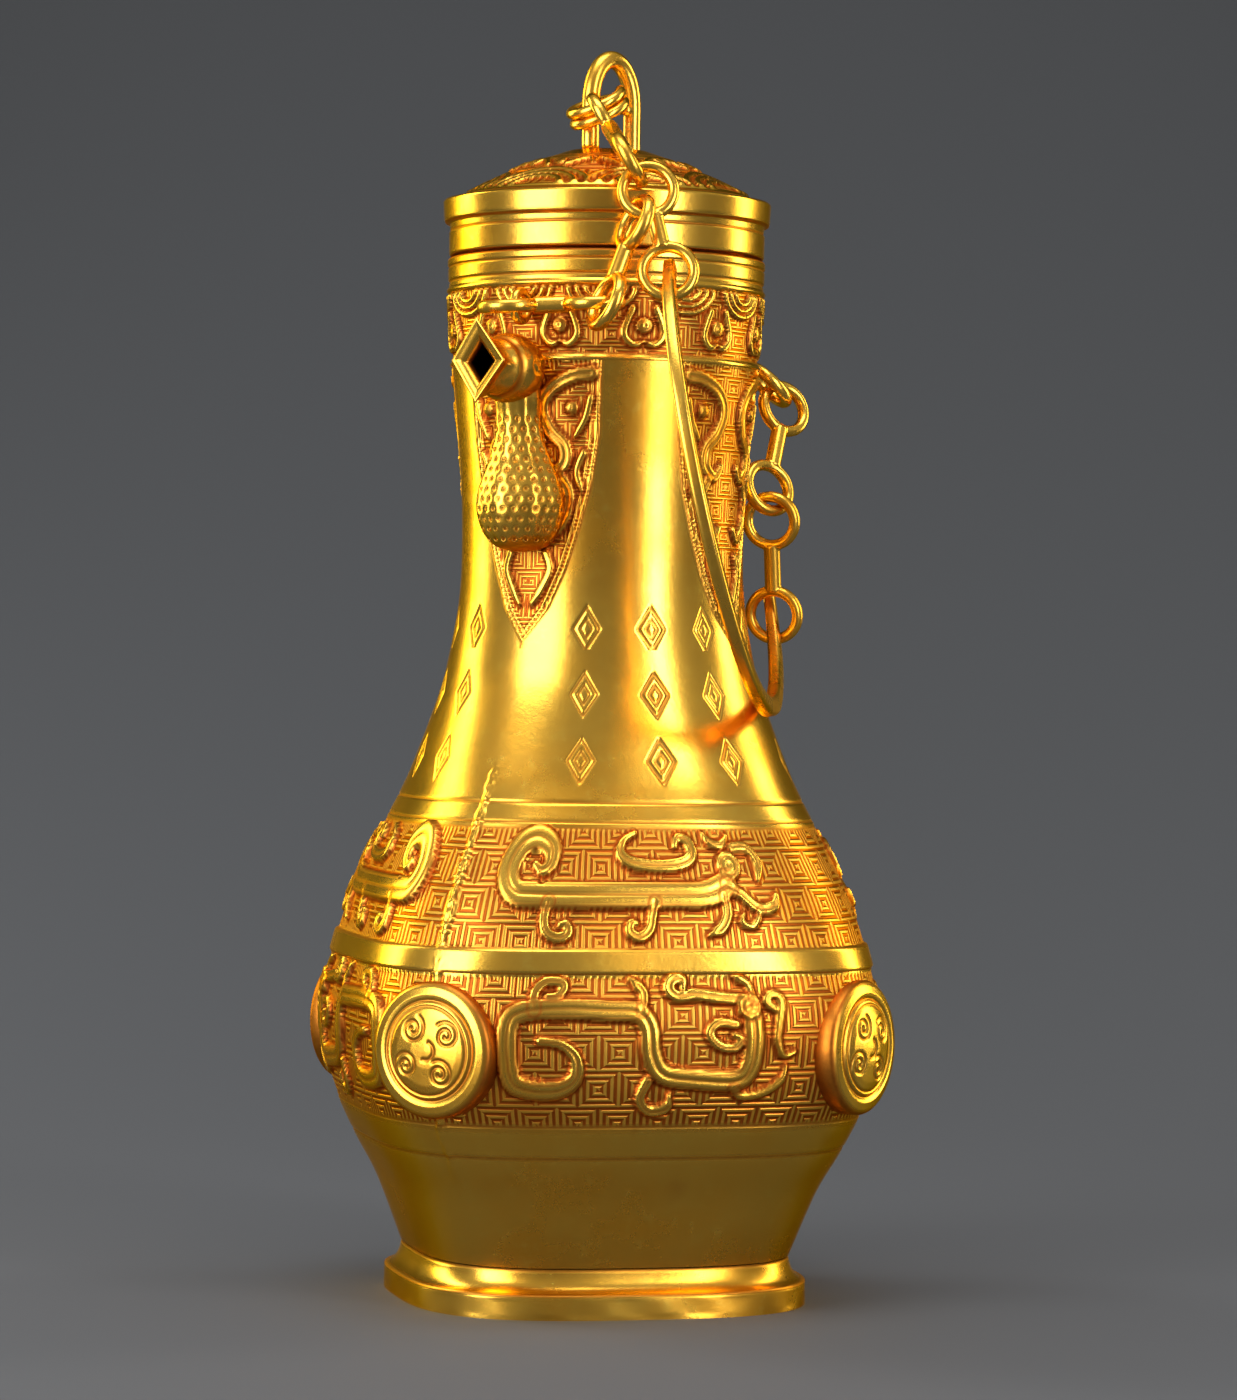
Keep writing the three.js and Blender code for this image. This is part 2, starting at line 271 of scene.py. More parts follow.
def gilding(name, polish=POLISH, worked=True):
    bench = Bench(name)
    place = bench.node("ShaderNodeTexCoord", None, None, 3)
    cloud = bench.noise(place, 22, 3)
    fleck = bench.noise(place, 260, 5, 0.65)
    pits = bench.noise(place, 900, 2, 0.5)
    warm = bench.ramp(cloud, 0.42, 0.72)
    colour = bench.blend(warm * 0.75, GOLD, GOLD_WARM)
    colour = bench.blend(bench.ramp(fleck, 0.52, 0.78) * 0.4, colour, GOLD_PALE)
    stain = bench.ramp(bench.noise(place, 70, 4, 0.6), 0.6, 0.8) * 0.35
    if worked:
        chart = bench.node("ShaderNodeAttribute", {"attribute_name": "chart"}, None, 1)
        ground = bench.node("ShaderNodeAttribute", {"attribute_name": "ground"}, None, 2)
        # This mark is red-brown patina in the hollows, and painted shade at the feet of the relief, in grooves and in
        # creases; above 1 it is near-black painted shade inside openings.
        hollow = bench.node("ShaderNodeAttribute", {"attribute_name": "hollow"}, None, 2)
        ridge = square_spirals(bench, chart)
        sunk = ground * (1 - ridge)
        # red and dark: patina in the sunk ground, plus painted shade at relief edges, in grooves and in creases.
        red = (sunk * 0.9 + hollow * 0.85 + ground * 0.22 + stain * 0.5).maths("MINIMUM", 1)
        dark = (sunk * 0.35 + hollow * 0.4).maths("MINIMUM", 1) * bench.ramp(fleck, 0.3, 0.7)
        height = ground * ridge * 0.5 + pits * 0.04 + fleck * 0.08
        rough = polish + ground * 0.14 + hollow * 0.2 + warm * 0.06 + fleck * 0.06
    else:
        red = stain + warm * 0.12
        dark = stain * 0.3
        height = pits * 0.05 + fleck * 0.1
        rough = polish + warm * 0.08 + fleck * 0.08
    colour = bench.blend(red, colour, GROUND_RED)
    colour = bench.blend(dark, colour, GROUND_DARK)
    # Painted shade: where the mark passes 1, inside the beak and on the mouth's lip, the colour goes near black.
    if worked:
        colour = bench.blend(bench.ramp(hollow, 1.1, 1.6), colour, CAVITY_SHADE)
    bump = bench.node("ShaderNodeBump", None, {"Strength": 0.7, "Distance": 0.0006, "Height": height})
    values = {"Base Color": colour, "Roughness": rough, "Metallic": 1.0, "Normal": bump, "Specular Tint": EDGE_TINT}
    return bench.finish(bench.node("ShaderNodeBsdfPrincipled", None, values))


chased_gilding = gilding("chased_gilding")
plain_gilding = gilding("plain_gilding", 0.22, worked=False)


# Body: one cast and chased vessel, a round neck on a rounded square belly. It is made as
# sleeves, one for each zone, each with its own relief, closed by the 3 mm wall inside.
FOOT_HIGH = 14
SHOULDER_LINE = 148
OUTLINE = [
    (14, 57.9), (33, 65.6), (45, 72.3), (57, 78.2), (69, 82), (85, 83.6), (99, 80.9),
    (117, 75.5), (132, 68.7), (148, 60.3), (159, 55.4), (177, 48.8), (189, 45.6),
    (207, 42.6), (224, 42), (243, 42.6), (267, 44.6), (279, 45.8), (297, 46.8), (308, 47.1),
]
BELLY_Z = 85
ROUND_Z = 200
FOOT_SQUARE = 3.0
BELLY_SQUARE = 3.6
VIEW_TURN = math.radians(14)
WALL = 3
FACE_HALF = 66
FACES = 4


def catmull(points, steps):
    """Smooth path through given points."""
    p = np.array([points[0], *points, points[-1]], float)
    t = np.linspace(0, 1, steps, endpoint=False)[:, None]
    runs = []
    for a, b, c, d in zip(p, p[1:], p[2:], p[3:]):
        bend = (2 * a - 5 * b + 4 * c - d) * t**2 + (3 * b - a - 3 * c + d) * t**3
        runs.append(0.5 * (2 * b + (c - a) * t + bend))
    return np.vstack([*runs, p[-1:]])


outline_path = catmull(OUTLINE, 12)


def body_half(z):
    return np.interp(z, outline_path[:, 0], outline_path[:, 1])


def squareness(z):
    low = FOOT_SQUARE + (BELLY_SQUARE - FOOT_SQUARE) * z / BELLY_Z
    high = BELLY_SQUARE + (2 - BELLY_SQUARE) * smoothstep((z - BELLY_Z) / (ROUND_Z - BELLY_Z))
    return np.where(z <= BELLY_Z, low, high)


def section_reach(half, angle, square):
    """Reach of a rounded square section whose half-width is seen 14 degrees off a face."""
    dual = square / (square - 1)
    across = (math.cos(VIEW_TURN) ** dual + math.sin(VIEW_TURN) ** dual) ** (1 / dual)
    a = np.abs(np.cos(angle - math.pi / 4)) ** square
    b = np.abs(np.sin(angle - math.pi / 4)) ** square
    return half / across / (a + b) ** (1 / square)


def even_angles(count):
    """Angles that share one face, from the front corner to the right one, by arc length."""
    angle = np.linspace(-math.pi / 2, 0, 2001)
    reach = section_reach(1.0, angle, BELLY_SQUARE)
    x, y = reach * np.cos(angle), reach * np.sin(angle)
    run = np.concatenate([[0], np.cumsum(np.hypot(np.diff(x), np.diff(y)))])
    return np.interp(np.linspace(0, run[-1], count + 1), run, angle)


def mesh_piece(name, points, faces, material, body, replaced=(), extras=None):
    mesh = bpy.data.meshes.new(name)
    mesh.from_pydata(np.asarray(points, float).tolist(), [], [tuple(map(int, face)) for face in faces])
    mesh.materials.append(material)
    mesh.polygons.foreach_set("use_smooth", [True] * len(mesh.polygons))
    for key, values in (extras or {}).items():
        values = np.asarray(values, np.float32)
        kind = "FLOAT_VECTOR" if values.ndim == 2 else "FLOAT"
        field = "vector" if values.ndim == 2 else "value"
        mesh.attributes.new(key, kind, "POINT").data.foreach_set(field, values.ravel())
    mesh.update()
    piece = bpy.data.objects.new(name, mesh)
    scene.collection.objects.link(piece)
    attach(piece, body)
    if replaced:
        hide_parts(*replaced)
    return piece


def closed_grid(rows, columns):
    """Faces of a tube that closes both ways: rows run round the wall's section."""
    i, j = np.meshgrid(np.arange(rows), np.arange(columns), indexing="ij")
    i2, j2 = (i + 1) % rows, (j + 1) % columns
    return np.stack([i * columns + j, i * columns + j2, i2 * columns + j2, i2 * columns + j], -1).reshape(-1, 4)


def crisp_rims(mesh, last_row, columns):
    """The two rims of the outer wall are crisp, so that neighbouring zones shade as one."""
    ends = np.zeros(len(mesh.edges) * 2, int)
    mesh.edges.foreach_get("vertices", ends)
    rows = ends.reshape(-1, 2) // columns
    rim = (rows[:, 0] == rows[:, 1]) & ((rows[:, 0] == 0) | (rows[:, 0] == last_row))
    mesh.attributes.new("sharp_edge", "BOOLEAN", "EDGE").data.foreach_set("value", rim)


def sleeve(name, heights, per_face, half, square, relief=None, wall=WALL, replaced=(), weave=(1, 1)):
    """A zone of the vessel: outer wall with relief going up, inner wall going down."""
    heights = np.asarray(heights, float)
    angles = even_angles(per_face)
    spread = np.linspace(-FACE_HALF, FACE_HALF, per_face + 1)
    s, z = np.meshgrid(spread, heights)
    rise, ground, hollow = relief(s, z) if relief else (0 * s, 0 * s, 0 * s)
    turns, strips = [], []
    for face in range(FACES):
        step = slice(0, per_face) if face % 2 == 0 else slice(per_face, 0, -1)
        own = angles[:-1] if face % 2 == 0 else -math.pi / 2 - angles[:0:-1]
        turns.append(own + face * math.pi / 2)
        strips.append([part[:, step] for part in (rise, ground, hollow, s)])
    turn = np.concatenate(turns)
    rise, ground, hollow, chart = (np.hstack([strip[k] for strip in strips]) for k in range(4))
    angle, z = np.meshgrid(turn, heights)

    def wall_at(at, high, inset=0.0):
        reach = section_reach(half(high) - inset, at, square(high))
        return np.stack([reach * np.cos(at), reach * np.sin(at), high], -1)

    step_turn, step_up = 1e-3, 0.05
    along = wall_at(angle + step_turn, z) - wall_at(angle - step_turn, z)
    upward = wall_at(angle, z + step_up) - wall_at(angle, z - step_up)
    normal = np.cross(along, upward)
    normal /= np.linalg.norm(normal, axis=-1, keepdims=True)
    outer = wall_at(angle, z) + normal * rise[..., None]
    inner_rows = np.linspace(heights[-1], heights[0], 8)
    inner = wall_at(*np.meshgrid(turn, inner_rows), wall)
    points = np.concatenate([outer, inner]).reshape(-1, 3) * MM
    plain = np.zeros(inner.shape[:2])
    place = np.stack([chart * weave[0], z * weave[1], 0 * z], -1)
    place = np.concatenate([place, np.zeros(inner.shape)]).reshape(-1, 3)
    # The third relief mark carries patina and painted shade at relief edges and in grooves into the material.
    extras = {
        "chart": place,
        "ground": np.concatenate([ground, plain]).ravel(),
        "hollow": np.concatenate([hollow, plain]).ravel(),
    }
    faces = closed_grid(len(heights) + len(inner_rows), len(turn))
    piece = mesh_piece(name, points, faces, chased_gilding, "bottle", replaced, extras)
    crisp_rims(piece.data, len(heights) - 1, len(turn))
    return piece


class Relief:
    """Height of one face: strokes are laid on a sunk ground, in millimetres."""

    def __init__(self, s, z, ground):
        self.s, self.z = s, z
        self.raised = np.zeros_like(s)
        self.cover = np.zeros_like(s)
        self.shade = np.zeros_like(s)
        self.cut = np.zeros_like(s)
        self.ground = ground

    def distance(self, path):
        """Distance to a path and how far along it the nearest point lies."""
        best = np.full(self.s.shape, 1e9)
        along = np.zeros_like(self.s)
        total = len(path) - 1
        for i, (a, b) in enumerate(zip(path, path[1:])):
            run = b - a
            length = max(run @ run, 1e-9)
            t = np.clip(((self.s - a[0]) * run[0] + (self.z - a[1]) * run[1]) / length, 0, 1)
            gap = np.hypot(self.s - a[0] - t * run[0], self.z - a[1] - t * run[1])
            nearer = gap < best
            best = np.where(nearer, gap, best)
            along = np.where(nearer, (i + t) / total, along)
        return best, along

    def ribbon(self, points, half, rise=1.3, thin_start=1.0, thin_end=1.0, line=True, edge=0.9):
        gap, along = self.distance(catmull(points, 6))
        taper = thin_start + (1 - thin_start) * smoothstep(along / 0.3)
        taper = taper * (thin_end + (1 - thin_end) * smoothstep((1 - along) / 0.3))
        width = half * taper
        inside = smoothstep((width - gap) / edge + 0.35)
        self.raised = np.maximum(self.raised, rise * inside * (0.75 + 0.25 * taper))
        self.cover = np.maximum(self.cover, inside)
        self.shade = np.maximum(self.shade, np.exp(-(((gap - width - 0.3) / 0.55) ** 2)))
        if line:
            self.groove(gap, 0.35 * inside * smoothstep((width - 1.2) / 0.5))
            self.groove(gap - (width - 0.9), 0.22 * inside * smoothstep((width - 2) / 0.5))

    def groove(self, gap, depth, half=0.42):
        mark = np.exp(-((gap / half) ** 2))
        self.cut = np.maximum(self.cut, depth * mark)
        self.shade = np.maximum(self.shade, 0.8 * mark * (depth > 0.05))

    def eye(self, s, z, radius, rise=1.5):
        gap = np.hypot(self.s - s, self.z - z)
        inside = smoothstep((radius - gap) / 0.8 + 0.3)
        self.raised = np.maximum(self.raised, rise * inside)
        self.cover = np.maximum(self.cover, inside)
        self.shade = np.maximum(self.shade, np.exp(-(((gap - radius - 0.3) / 0.5) ** 2)))
        self.groove(gap - radius * 0.62, 0.35 * inside)
        self.groove(gap, 0.3 * inside, 0.5)

    def result(self, deep=0.35):
        ground = self.ground * (1 - self.cover)
        return self.raised - deep * ground - self.cut, ground, np.clip(self.shade, 0, 1)


def level(height, low, high, soft=0.5):
    """1 between two heights, falling off softly outside."""
    return smoothstep((height - low) / soft + 0.5) * smoothstep((high - height) / soft + 0.5)


def casting_seam(relief):
    """Rough ridge of the mould's joint, down the front and rear corners."""
    wander = 0.5 + 0.4 * np.sin(relief.z * 0.5) + 0.25 * np.sin(relief.z * 1.7 + 1)
    gap = np.abs(relief.s + FACE_HALF - wander)
    knots = 0.8 + 0.2 * np.sin(relief.z * 1.3) * np.sin(relief.z * 0.6 + 2)
    ridge = np.exp(-((gap / 1.0) ** 2)) * knots
    relief.raised = np.maximum(relief.raised, 0.9 * ridge)
    relief.cover = np.maximum(relief.cover, ridge)


LOW_LINE = 47


def low_body(s, z):
    relief = Relief(s, z, 0 * s)
    casting_seam(relief)
    relief.raised *= smoothstep((z - 36) / 12)
    relief.groove(z - LOW_LINE, 0.3, 0.35)
    relief.groove(z - 55.6, 0.3, 0.35)
    return relief.result()


# Lower band: a long-bodied dragon on each face with a squared, curled tail, its head turned
# back, between the bosses. Neighbouring faces mirror each other.
BAND_2 = (56.5, 100)
DRAGON_2_BODY = [
    (-34.5, 81.5), (-28.5, 80.5), (-24.5, 76.5), (-25, 70.5), (-30.5, 67.5), (-39, 68),
    (-43, 71.5), (-43.5, 85), (-40, 89.5), (-28.5, 90.5), (-15.5, 90), (-7.5, 89.5),
    (-4, 85.5), (-3, 77.5), (0.5, 72), (9.5, 70.5), (21.5, 70), (25.5, 73.5), (26.5, 81), (26, 88),
]
DRAGON_2_CREST = [(-36.5, 90), (-36.5, 95), (-33.5, 98), (-28.5, 97.5), (-29.5, 94.5), (-33, 94)]
DRAGON_2_FIN = [(-6, 90), (-5.5, 95), (-9.5, 99)]
DRAGON_2_SNOUT = [
    (24, 93), (17, 93.5), (9.5, 94.5), (4.5, 94), (2, 96), (3, 98.5), (6, 98.5), (6.2, 96.3),
]
DRAGON_2_HORN = [(21, 99.5), (25, 97.5), (26.5, 93)]
DRAGON_2_JAW = [(21, 86), (16, 86.5), (13.5, 83.5), (16.5, 80), (21, 79.5), (22.5, 82), (20.5, 83)]
DRAGON_2_FOOT = [(-4, 70), (-6, 65), (-3, 61.5), (2, 62.5), (2.5, 66)]
DRAGON_2_TOE = [(21, 68), (24, 65.5), (30.5, 66.5), (35.5, 70), (36.5, 74)]
DRAGON_2_WING = [
    (32.5, 90.5), (30.5, 92.5), (32.5, 94.5), (35, 92.5), (34, 86.5), (33.5, 81.5), (35.5, 77), (39, 78),
]


def lower_band(s, z):
    relief = Relief(s, z, level(z, BAND_2[0] + 0.6, BAND_2[1] - 0.6))
    relief.ribbon(DRAGON_2_BODY, 3.1, 1.5, thin_start=0.45)
    relief.ribbon(DRAGON_2_CREST, 1.5, 1.2, thin_end=0.7)
    relief.ribbon(DRAGON_2_FIN, 1.6, 1.1, thin_end=0.4)
    relief.ribbon(DRAGON_2_SNOUT, 1.9, 1.4, thin_end=0.6)
    relief.ribbon(DRAGON_2_HORN, 1.3, 1.2, thin_start=0.4)
    relief.ribbon(DRAGON_2_JAW, 1.5, 1.2, thin_end=0.6)
    relief.ribbon(DRAGON_2_FOOT, 1.6, 1.2, thin_end=0.5)
    relief.ribbon(DRAGON_2_TOE, 1.3, 1.1, thin_end=0.5)
    relief.ribbon(DRAGON_2_WING, 1.4, 1.2, thin_end=0.5)
    relief.eye(25, 91, 3.8, 1.9)
    casting_seam(relief)
    relief.groove(z - BAND_2[0], 0.3)
    return relief.result()


# Upper band: a dragon with a spiral tail, hooked legs, a crescent wing and open jaws, over
# a plain raised fillet.
FILLET = (100, 107)
BAND_1 = (107, 141)
DRAGON_1_BODY = [
    (-40, 130.5), (-37.5, 128.8), (-35, 131), (-35.3, 135.5), (-40, 138), (-45, 136.5),
    (-48, 132), (-48.5, 127), (-45.5, 122.8), (-38.5, 122), (-15.5, 122), (3.5, 122.2),
    (16, 122.5), (23, 125),
]
DRAGON_1_LEG_1 = [(-34.5, 120), (-35.5, 116), (-34.5, 112), (-31, 110.2), (-28, 111.5), (-28.5, 114), (-30.5, 114)]
DRAGON_1_LEG_2 = [(-1, 120), (-2, 116), (-3, 112.5), (-6, 110.5), (-9, 112), (-8.5, 114.5), (-6.8, 114.3)]
DRAGON_1_LEG_3 = [(22, 122), (22, 117), (19.5, 113), (15.5, 111)]
DRAGON_1_WING = [
    (-6, 139.5), (-10, 137.5), (-11.5, 134), (-8, 131.3), (0, 130.3), (8.5, 130.8),
    (13, 133), (12.5, 137), (9, 138.2), (7.8, 136),
]
DRAGON_1_HORN = [(18.5, 139.5), (20.5, 137), (24.5, 136.2), (27.5, 139)]
DRAGON_1_SNOUT = [(28, 135.5), (33.5, 135.5), (36.5, 131.5), (35, 126.5)]
DRAGON_1_JAW = [(23, 125), (27.5, 122.5), (32.5, 118.5), (38, 119), (40, 122)]
DRAGON_1_CURL = [(33, 117.5), (30, 113.5), (26.5, 114.5), (27.5, 117)]


def upper_band(s, z):
    relief = Relief(s, z, level(z, BAND_1[0] + 0.6, BAND_1[1] - 0.6))
    relief.ribbon(DRAGON_1_BODY, 3.9, 1.5, thin_start=0.35)
    relief.ribbon(DRAGON_1_LEG_1, 1.7, 1.2, thin_end=0.6)
    relief.ribbon(DRAGON_1_LEG_2, 1.7, 1.2, thin_end=0.6)
    relief.ribbon(DRAGON_1_LEG_3, 1.8, 1.2, thin_end=0.4)
    relief.ribbon(DRAGON_1_WING, 2, 1.3, thin_start=0.5, thin_end=0.6)
    relief.ribbon(DRAGON_1_HORN, 1.4, 1.1, thin_start=0.5, thin_end=0.5)
    relief.ribbon(DRAGON_1_SNOUT, 1.6, 1.2, thin_end=0.6)
    relief.ribbon(DRAGON_1_JAW, 1.8, 1.2, thin_end=0.6)
    relief.ribbon(DRAGON_1_CURL, 1.1, 1, thin_end=0.6)
    relief.eye(25.3, 130.3, 4.3, 1.6)
    fillet = level(z, *FILLET, 0.8)
    relief.raised = np.maximum(relief.raised, 0.7 * fillet)
    relief.cover = np.maximum(relief.cover, fillet)
    casting_seam(relief)
    for edge in (*FILLET, BAND_1[1]):
        relief.groove(z - edge, 0.25)
    return relief.result()


# Shoulder: plain polished metal with one engraved line and columns of small engraved
# lozenges, each with a centre dot.
MARK_COLUMNS = (-27, 7, 41)
MARK_ROWS = (179, 160)
MARK_TOP_ROW = 198
MARK_WIDE = 0.62
MARK_HALF = 6.2


def engraved_marks(relief, s, z, rows):
    shrink = body_half(z) / body_half(BELLY_Z)
    for column in MARK_COLUMNS:
        for row in rows:
            across = np.abs(s - column) * shrink / MARK_WIDE
            ring = across + np.abs(z - row)
            near = ring < MARK_HALF + 2
            relief.groove((ring - MARK_HALF) * 0.7, 0.4 * near, 0.42)
            relief.groove((ring - MARK_HALF * 0.45) * 0.7, 0.35 * near, 0.38)


def shoulder(s, z):
    relief = Relief(s, z, 0 * s)
    relief.groove(z - SHOULDER_LINE, 0.3, 0.35)
    relief.groove(z - 142.5, 0.2, 0.35)
    engraved_marks(relief, s, z, MARK_ROWS)
    seam = 1 - smoothstep((z - 148) / 14)
    casting_seam(relief)
    relief.raised *= seam
    return relief.result()


# Leaf blades: four hang from the neck's ridge, one on each corner, with a double border
# and a pair of curled snakes on each side of the middle.
LEAF_TIP = 194
LEAF_TOP = 276
LEAF_EDGE = [(194, 0), (204, 10.5), (215.5, 17.5), (226.5, 22.4), (239, 27), (254, 30), (276, 30.6)]
NECK_ROUND = 43.5
SNAKE_UPPER = [(20.5, 272), (15, 271), (8.5, 267.5), (5.5, 262), (8, 255.5), (12.5, 251), (12.5, 246), (8, 243), (5, 246)]
SNAKE_LOWER = [(11.5, 241.5), (14, 237), (12.5, 230), (8, 225.5), (4.5, 228)]
SNAKE_TIP = [(6.5, 220), (8, 215), (5, 209), (2.2, 205)]
SNAKE_FIN = [(20.5, 265), (19, 259), (15.8, 253.5)]
SNAKE_SIDE = [(18.5, 249), (16.5, 243.5), (18, 238)]


def leaves(s, z):
    corner = (1 - np.abs(s) / FACE_HALF) * 45
    across = np.radians(corner) * NECK_ROUND
    edge = np.interp(z, [h for h, _ in LEAF_EDGE], [w for _, w in LEAF_EDGE])
    edge = np.radians(edge) * NECK_ROUND
    inset = (edge - across) * 0.93
    within = smoothstep(inset / 0.6 + 0.5) * smoothstep((LEAF_TOP - z) / 0.5) * (z > LEAF_TIP - 1)
    relief = Relief(across, z, within)
    for path, half in (
        (SNAKE_UPPER, 2.2), (SNAKE_LOWER, 1.9), (SNAKE_TIP, 1.3), (SNAKE_FIN, 1.1), (SNAKE_SIDE, 1.1),
    ):
        relief.ribbon(path, half, 1, thin_end=0.6, edge=0.7)
    relief.eye(15, 262, 2.2, 1.2)
    relief.eye(13.2, 234.5, 1.7, 1)
    relief.raised *= within
    relief.cover *= within
    relief.shade *= within
    for step in (0.5, 2.1):
        rim = np.exp(-(((inset - step) / 0.45) ** 2)) * (z < LEAF_TOP)
        relief.raised = np.maximum(relief.raised, 0.5 * rim)
        relief.cover = np.maximum(relief.cover, rim)
    relief.shade = np.maximum(relief.shade, 0.7 * np.exp(-(((inset + 0.3) / 0.4) ** 2)) * (z < LEAF_TOP))
    engraved_marks(relief, s, z, [MARK_TOP_ROW])
    return relief.result(0.45)


# Neck band: nested swags and round eyes on the spiral ground, between two plain ridges,
# and above it the turned mouth.
BAND_NECK = (278, 297)
SWAG_FROM = 8
SWAG_STEP = 2.2


def neck_band(s, z):
    relief = Relief(s * 0.55, z, level(z, BAND_NECK[0], BAND_NECK[1]))
    s = relief.s
    for centre in (-36.3, -12, 12, 36.3):
        gap = np.hypot((s - centre) * 0.85, (z - BAND_NECK[1]) * 1.15)
        for ring in (SWAG_FROM, SWAG_FROM - SWAG_STEP, SWAG_FROM - 2 * SWAG_STEP):
            bar = smoothstep((0.75 - np.abs(gap - ring)) / 0.5 + 0.3) * level(z, *BAND_NECK)
            relief.raised = np.maximum(relief.raised, 0.9 * bar)
            relief.cover = np.maximum(relief.cover, bar)
            relief.shade = np.maximum(relief.shade, np.exp(-(((np.abs(gap - ring) - 1.05) / 0.3) ** 2)))
    for centre in (-24, 0, 24):
        relief.eye(centre, 286, 2.4, 1.2)
        for side in (-1, 1):
            arm = [(centre + side * 3.2, 291), (centre + side * 5.5, 284), (centre + side * 3, 280.5), (centre, 281.5)]
            relief.ribbon(arm, 1.1, 1, thin_end=0.5, edge=0.6)
    relief.shade *= level(z, *BAND_NECK)
    for ridge in (276.4, 298.4):
        bead = np.exp(-(((z - ridge) / 0.75) ** 2))
        relief.raised = np.maximum(relief.raised, 0.8 * bead)
        relief.cover = np.maximum(relief.cover, bead)
    relief.groove(z - 277.8, 0.2, 0.3)
    relief.groove(z - 297.2, 0.2, 0.3)
    return relief.result()


def mouth(s, z):
    relief = Relief(s, z, 0 * s)
    relief.groove(z - 301, 0.35, 0.35)
    relief.groove(z - 305.4, 0.3, 0.3)
    relief.raised = 0.3 * level(z, 305.6, 307.7, 0.5) + 0.2 * level(z, 301.3, 305.2, 0.4)
    # Painted shade: the top of the lip, in the gap under the lid, is painted near black.
    relief.shade = np.maximum(relief.shade, 1.3 * smoothstep((z - 307.4) / 0.4))
    ground_rise, ground, hollow = relief.result()
    return ground_rise, ground, np.maximum(hollow, 1.3 * smoothstep((z - 307.5) / 0.3))


def zone(low, high, step):
    return np.linspace(low, high, round((high - low) / step) + 1)


BODY_LOW = FOOT_HIGH + 0.3
MOUTH_TOP = 308
sleeve("body_low", zone(BODY_LOW, 56, 0.8), 130, body_half, squareness, low_body, replaced=["body_shell"])
sleeve("body_lower_band", zone(56, 100, 0.55), 240, body_half, squareness, lower_band)
sleeve("body_upper_band", zone(100, 142, 0.55), 240, body_half, squareness, upper_band)
neck_weave = (NECK_FINER * NECK_ROUND * math.pi / 4 / FACE_HALF, NECK_FINER)
sleeve("body_shoulder", zone(142, 192, 0.46), 200, body_half, squareness, shoulder)
sleeve("body_leaves", zone(192, 276, 0.66), 180, body_half, squareness, leaves, weave=neck_weave)
sleeve("body_neck_band", zone(276, 299.5, 0.45), 190, body_half, squareness, neck_band, weave=neck_weave)
sleeve("body_mouth", zone(299.5, MOUTH_TOP, 0.3), 130, body_half, squareness, mouth)


# Foot: a cast ring, upright below and hollowed in to the waist, with the base plate let in
# above it. The plate is rough bronze.
FOOT_HALF = 62.9
FOOT_BAND = 7
WAIST_HALF = 57.9
FOOT_WALL = 5


def foot_half(z):
    curve = np.sqrt(np.clip(1 - ((FOOT_HIGH - z) / (FOOT_HIGH - FOOT_BAND)) ** 2, 0, 1))
    hollowed = FOOT_HALF - (FOOT_HALF - WAIST_HALF) * curve
    return np.where(z <= FOOT_BAND, FOOT_HALF, hollowed)


def foot_relief(s, z):
    relief = Relief(s, z, 0 * s)
    relief.groove(z - FOOT_BAND, 0.25, 0.35)
    relief.groove(z - 13.6, 0.2, 0.4)
    dents = 0.12 * np.sin(s * 0.21) * np.sin(s * 0.07 + z * 0.3)
    relief.raised = relief.raised + dents * level(z, 1, 6, 2)
    return relief.result()


sleeve("foot", zone(0, FOOT_HIGH, 0.35), 130, foot_half, squareness, foot_relief, FOOT_WALL, ["foot_ring"])


def rough_bronze():
    bench = Bench("rough_bronze")
    place = bench.node("ShaderNodeTexCoord", None, None, 3)
    grain = bench.noise(place, 180, 6, 0.7)
    colour = bench.blend(bench.ramp(grain, 0.35, 0.7), (0.16, 0.08, 0.03, 1), (0.42, 0.26, 0.10, 1))
    bump = bench.node("ShaderNodeBump", None, {"Strength": 0.6, "Distance": 0.0008, "Height": grain})
    values = {"Base Color": colour, "Roughness": 0.45 + grain * 0.2, "Metallic": 1.0, "Normal": bump}
    return bench.finish(bench.node("ShaderNodeBsdfPrincipled", None, values))


def dress(name, material):
    mesh = nodes[name].data
    mesh.materials.clear()
    mesh.materials.append(material)


dress("base_plate", rough_bronze())


# Bosses: four round bosses cover the belly's corners. A collar, two engraved circles, a
# dome with four spirals and a crescent in the middle.
BOSS_Z = 78
BOSS_RADIUS = 19.5
BOSS_SKIRT = 7
BOSS_DOME = 14.2
BOSS_PROFILE = [(0, 2.8), (5, 2.65), (10, 2.1), (13.6, 1.2), (14.4, 0.8), (16, 1.0), (18, 0.5), (19.1, -0.3), (19.5, -1.2)]
BOSS_SPIRALS = [(35, 7.9), (128, 7.7), (212, 8.1), (305, 7.8)]


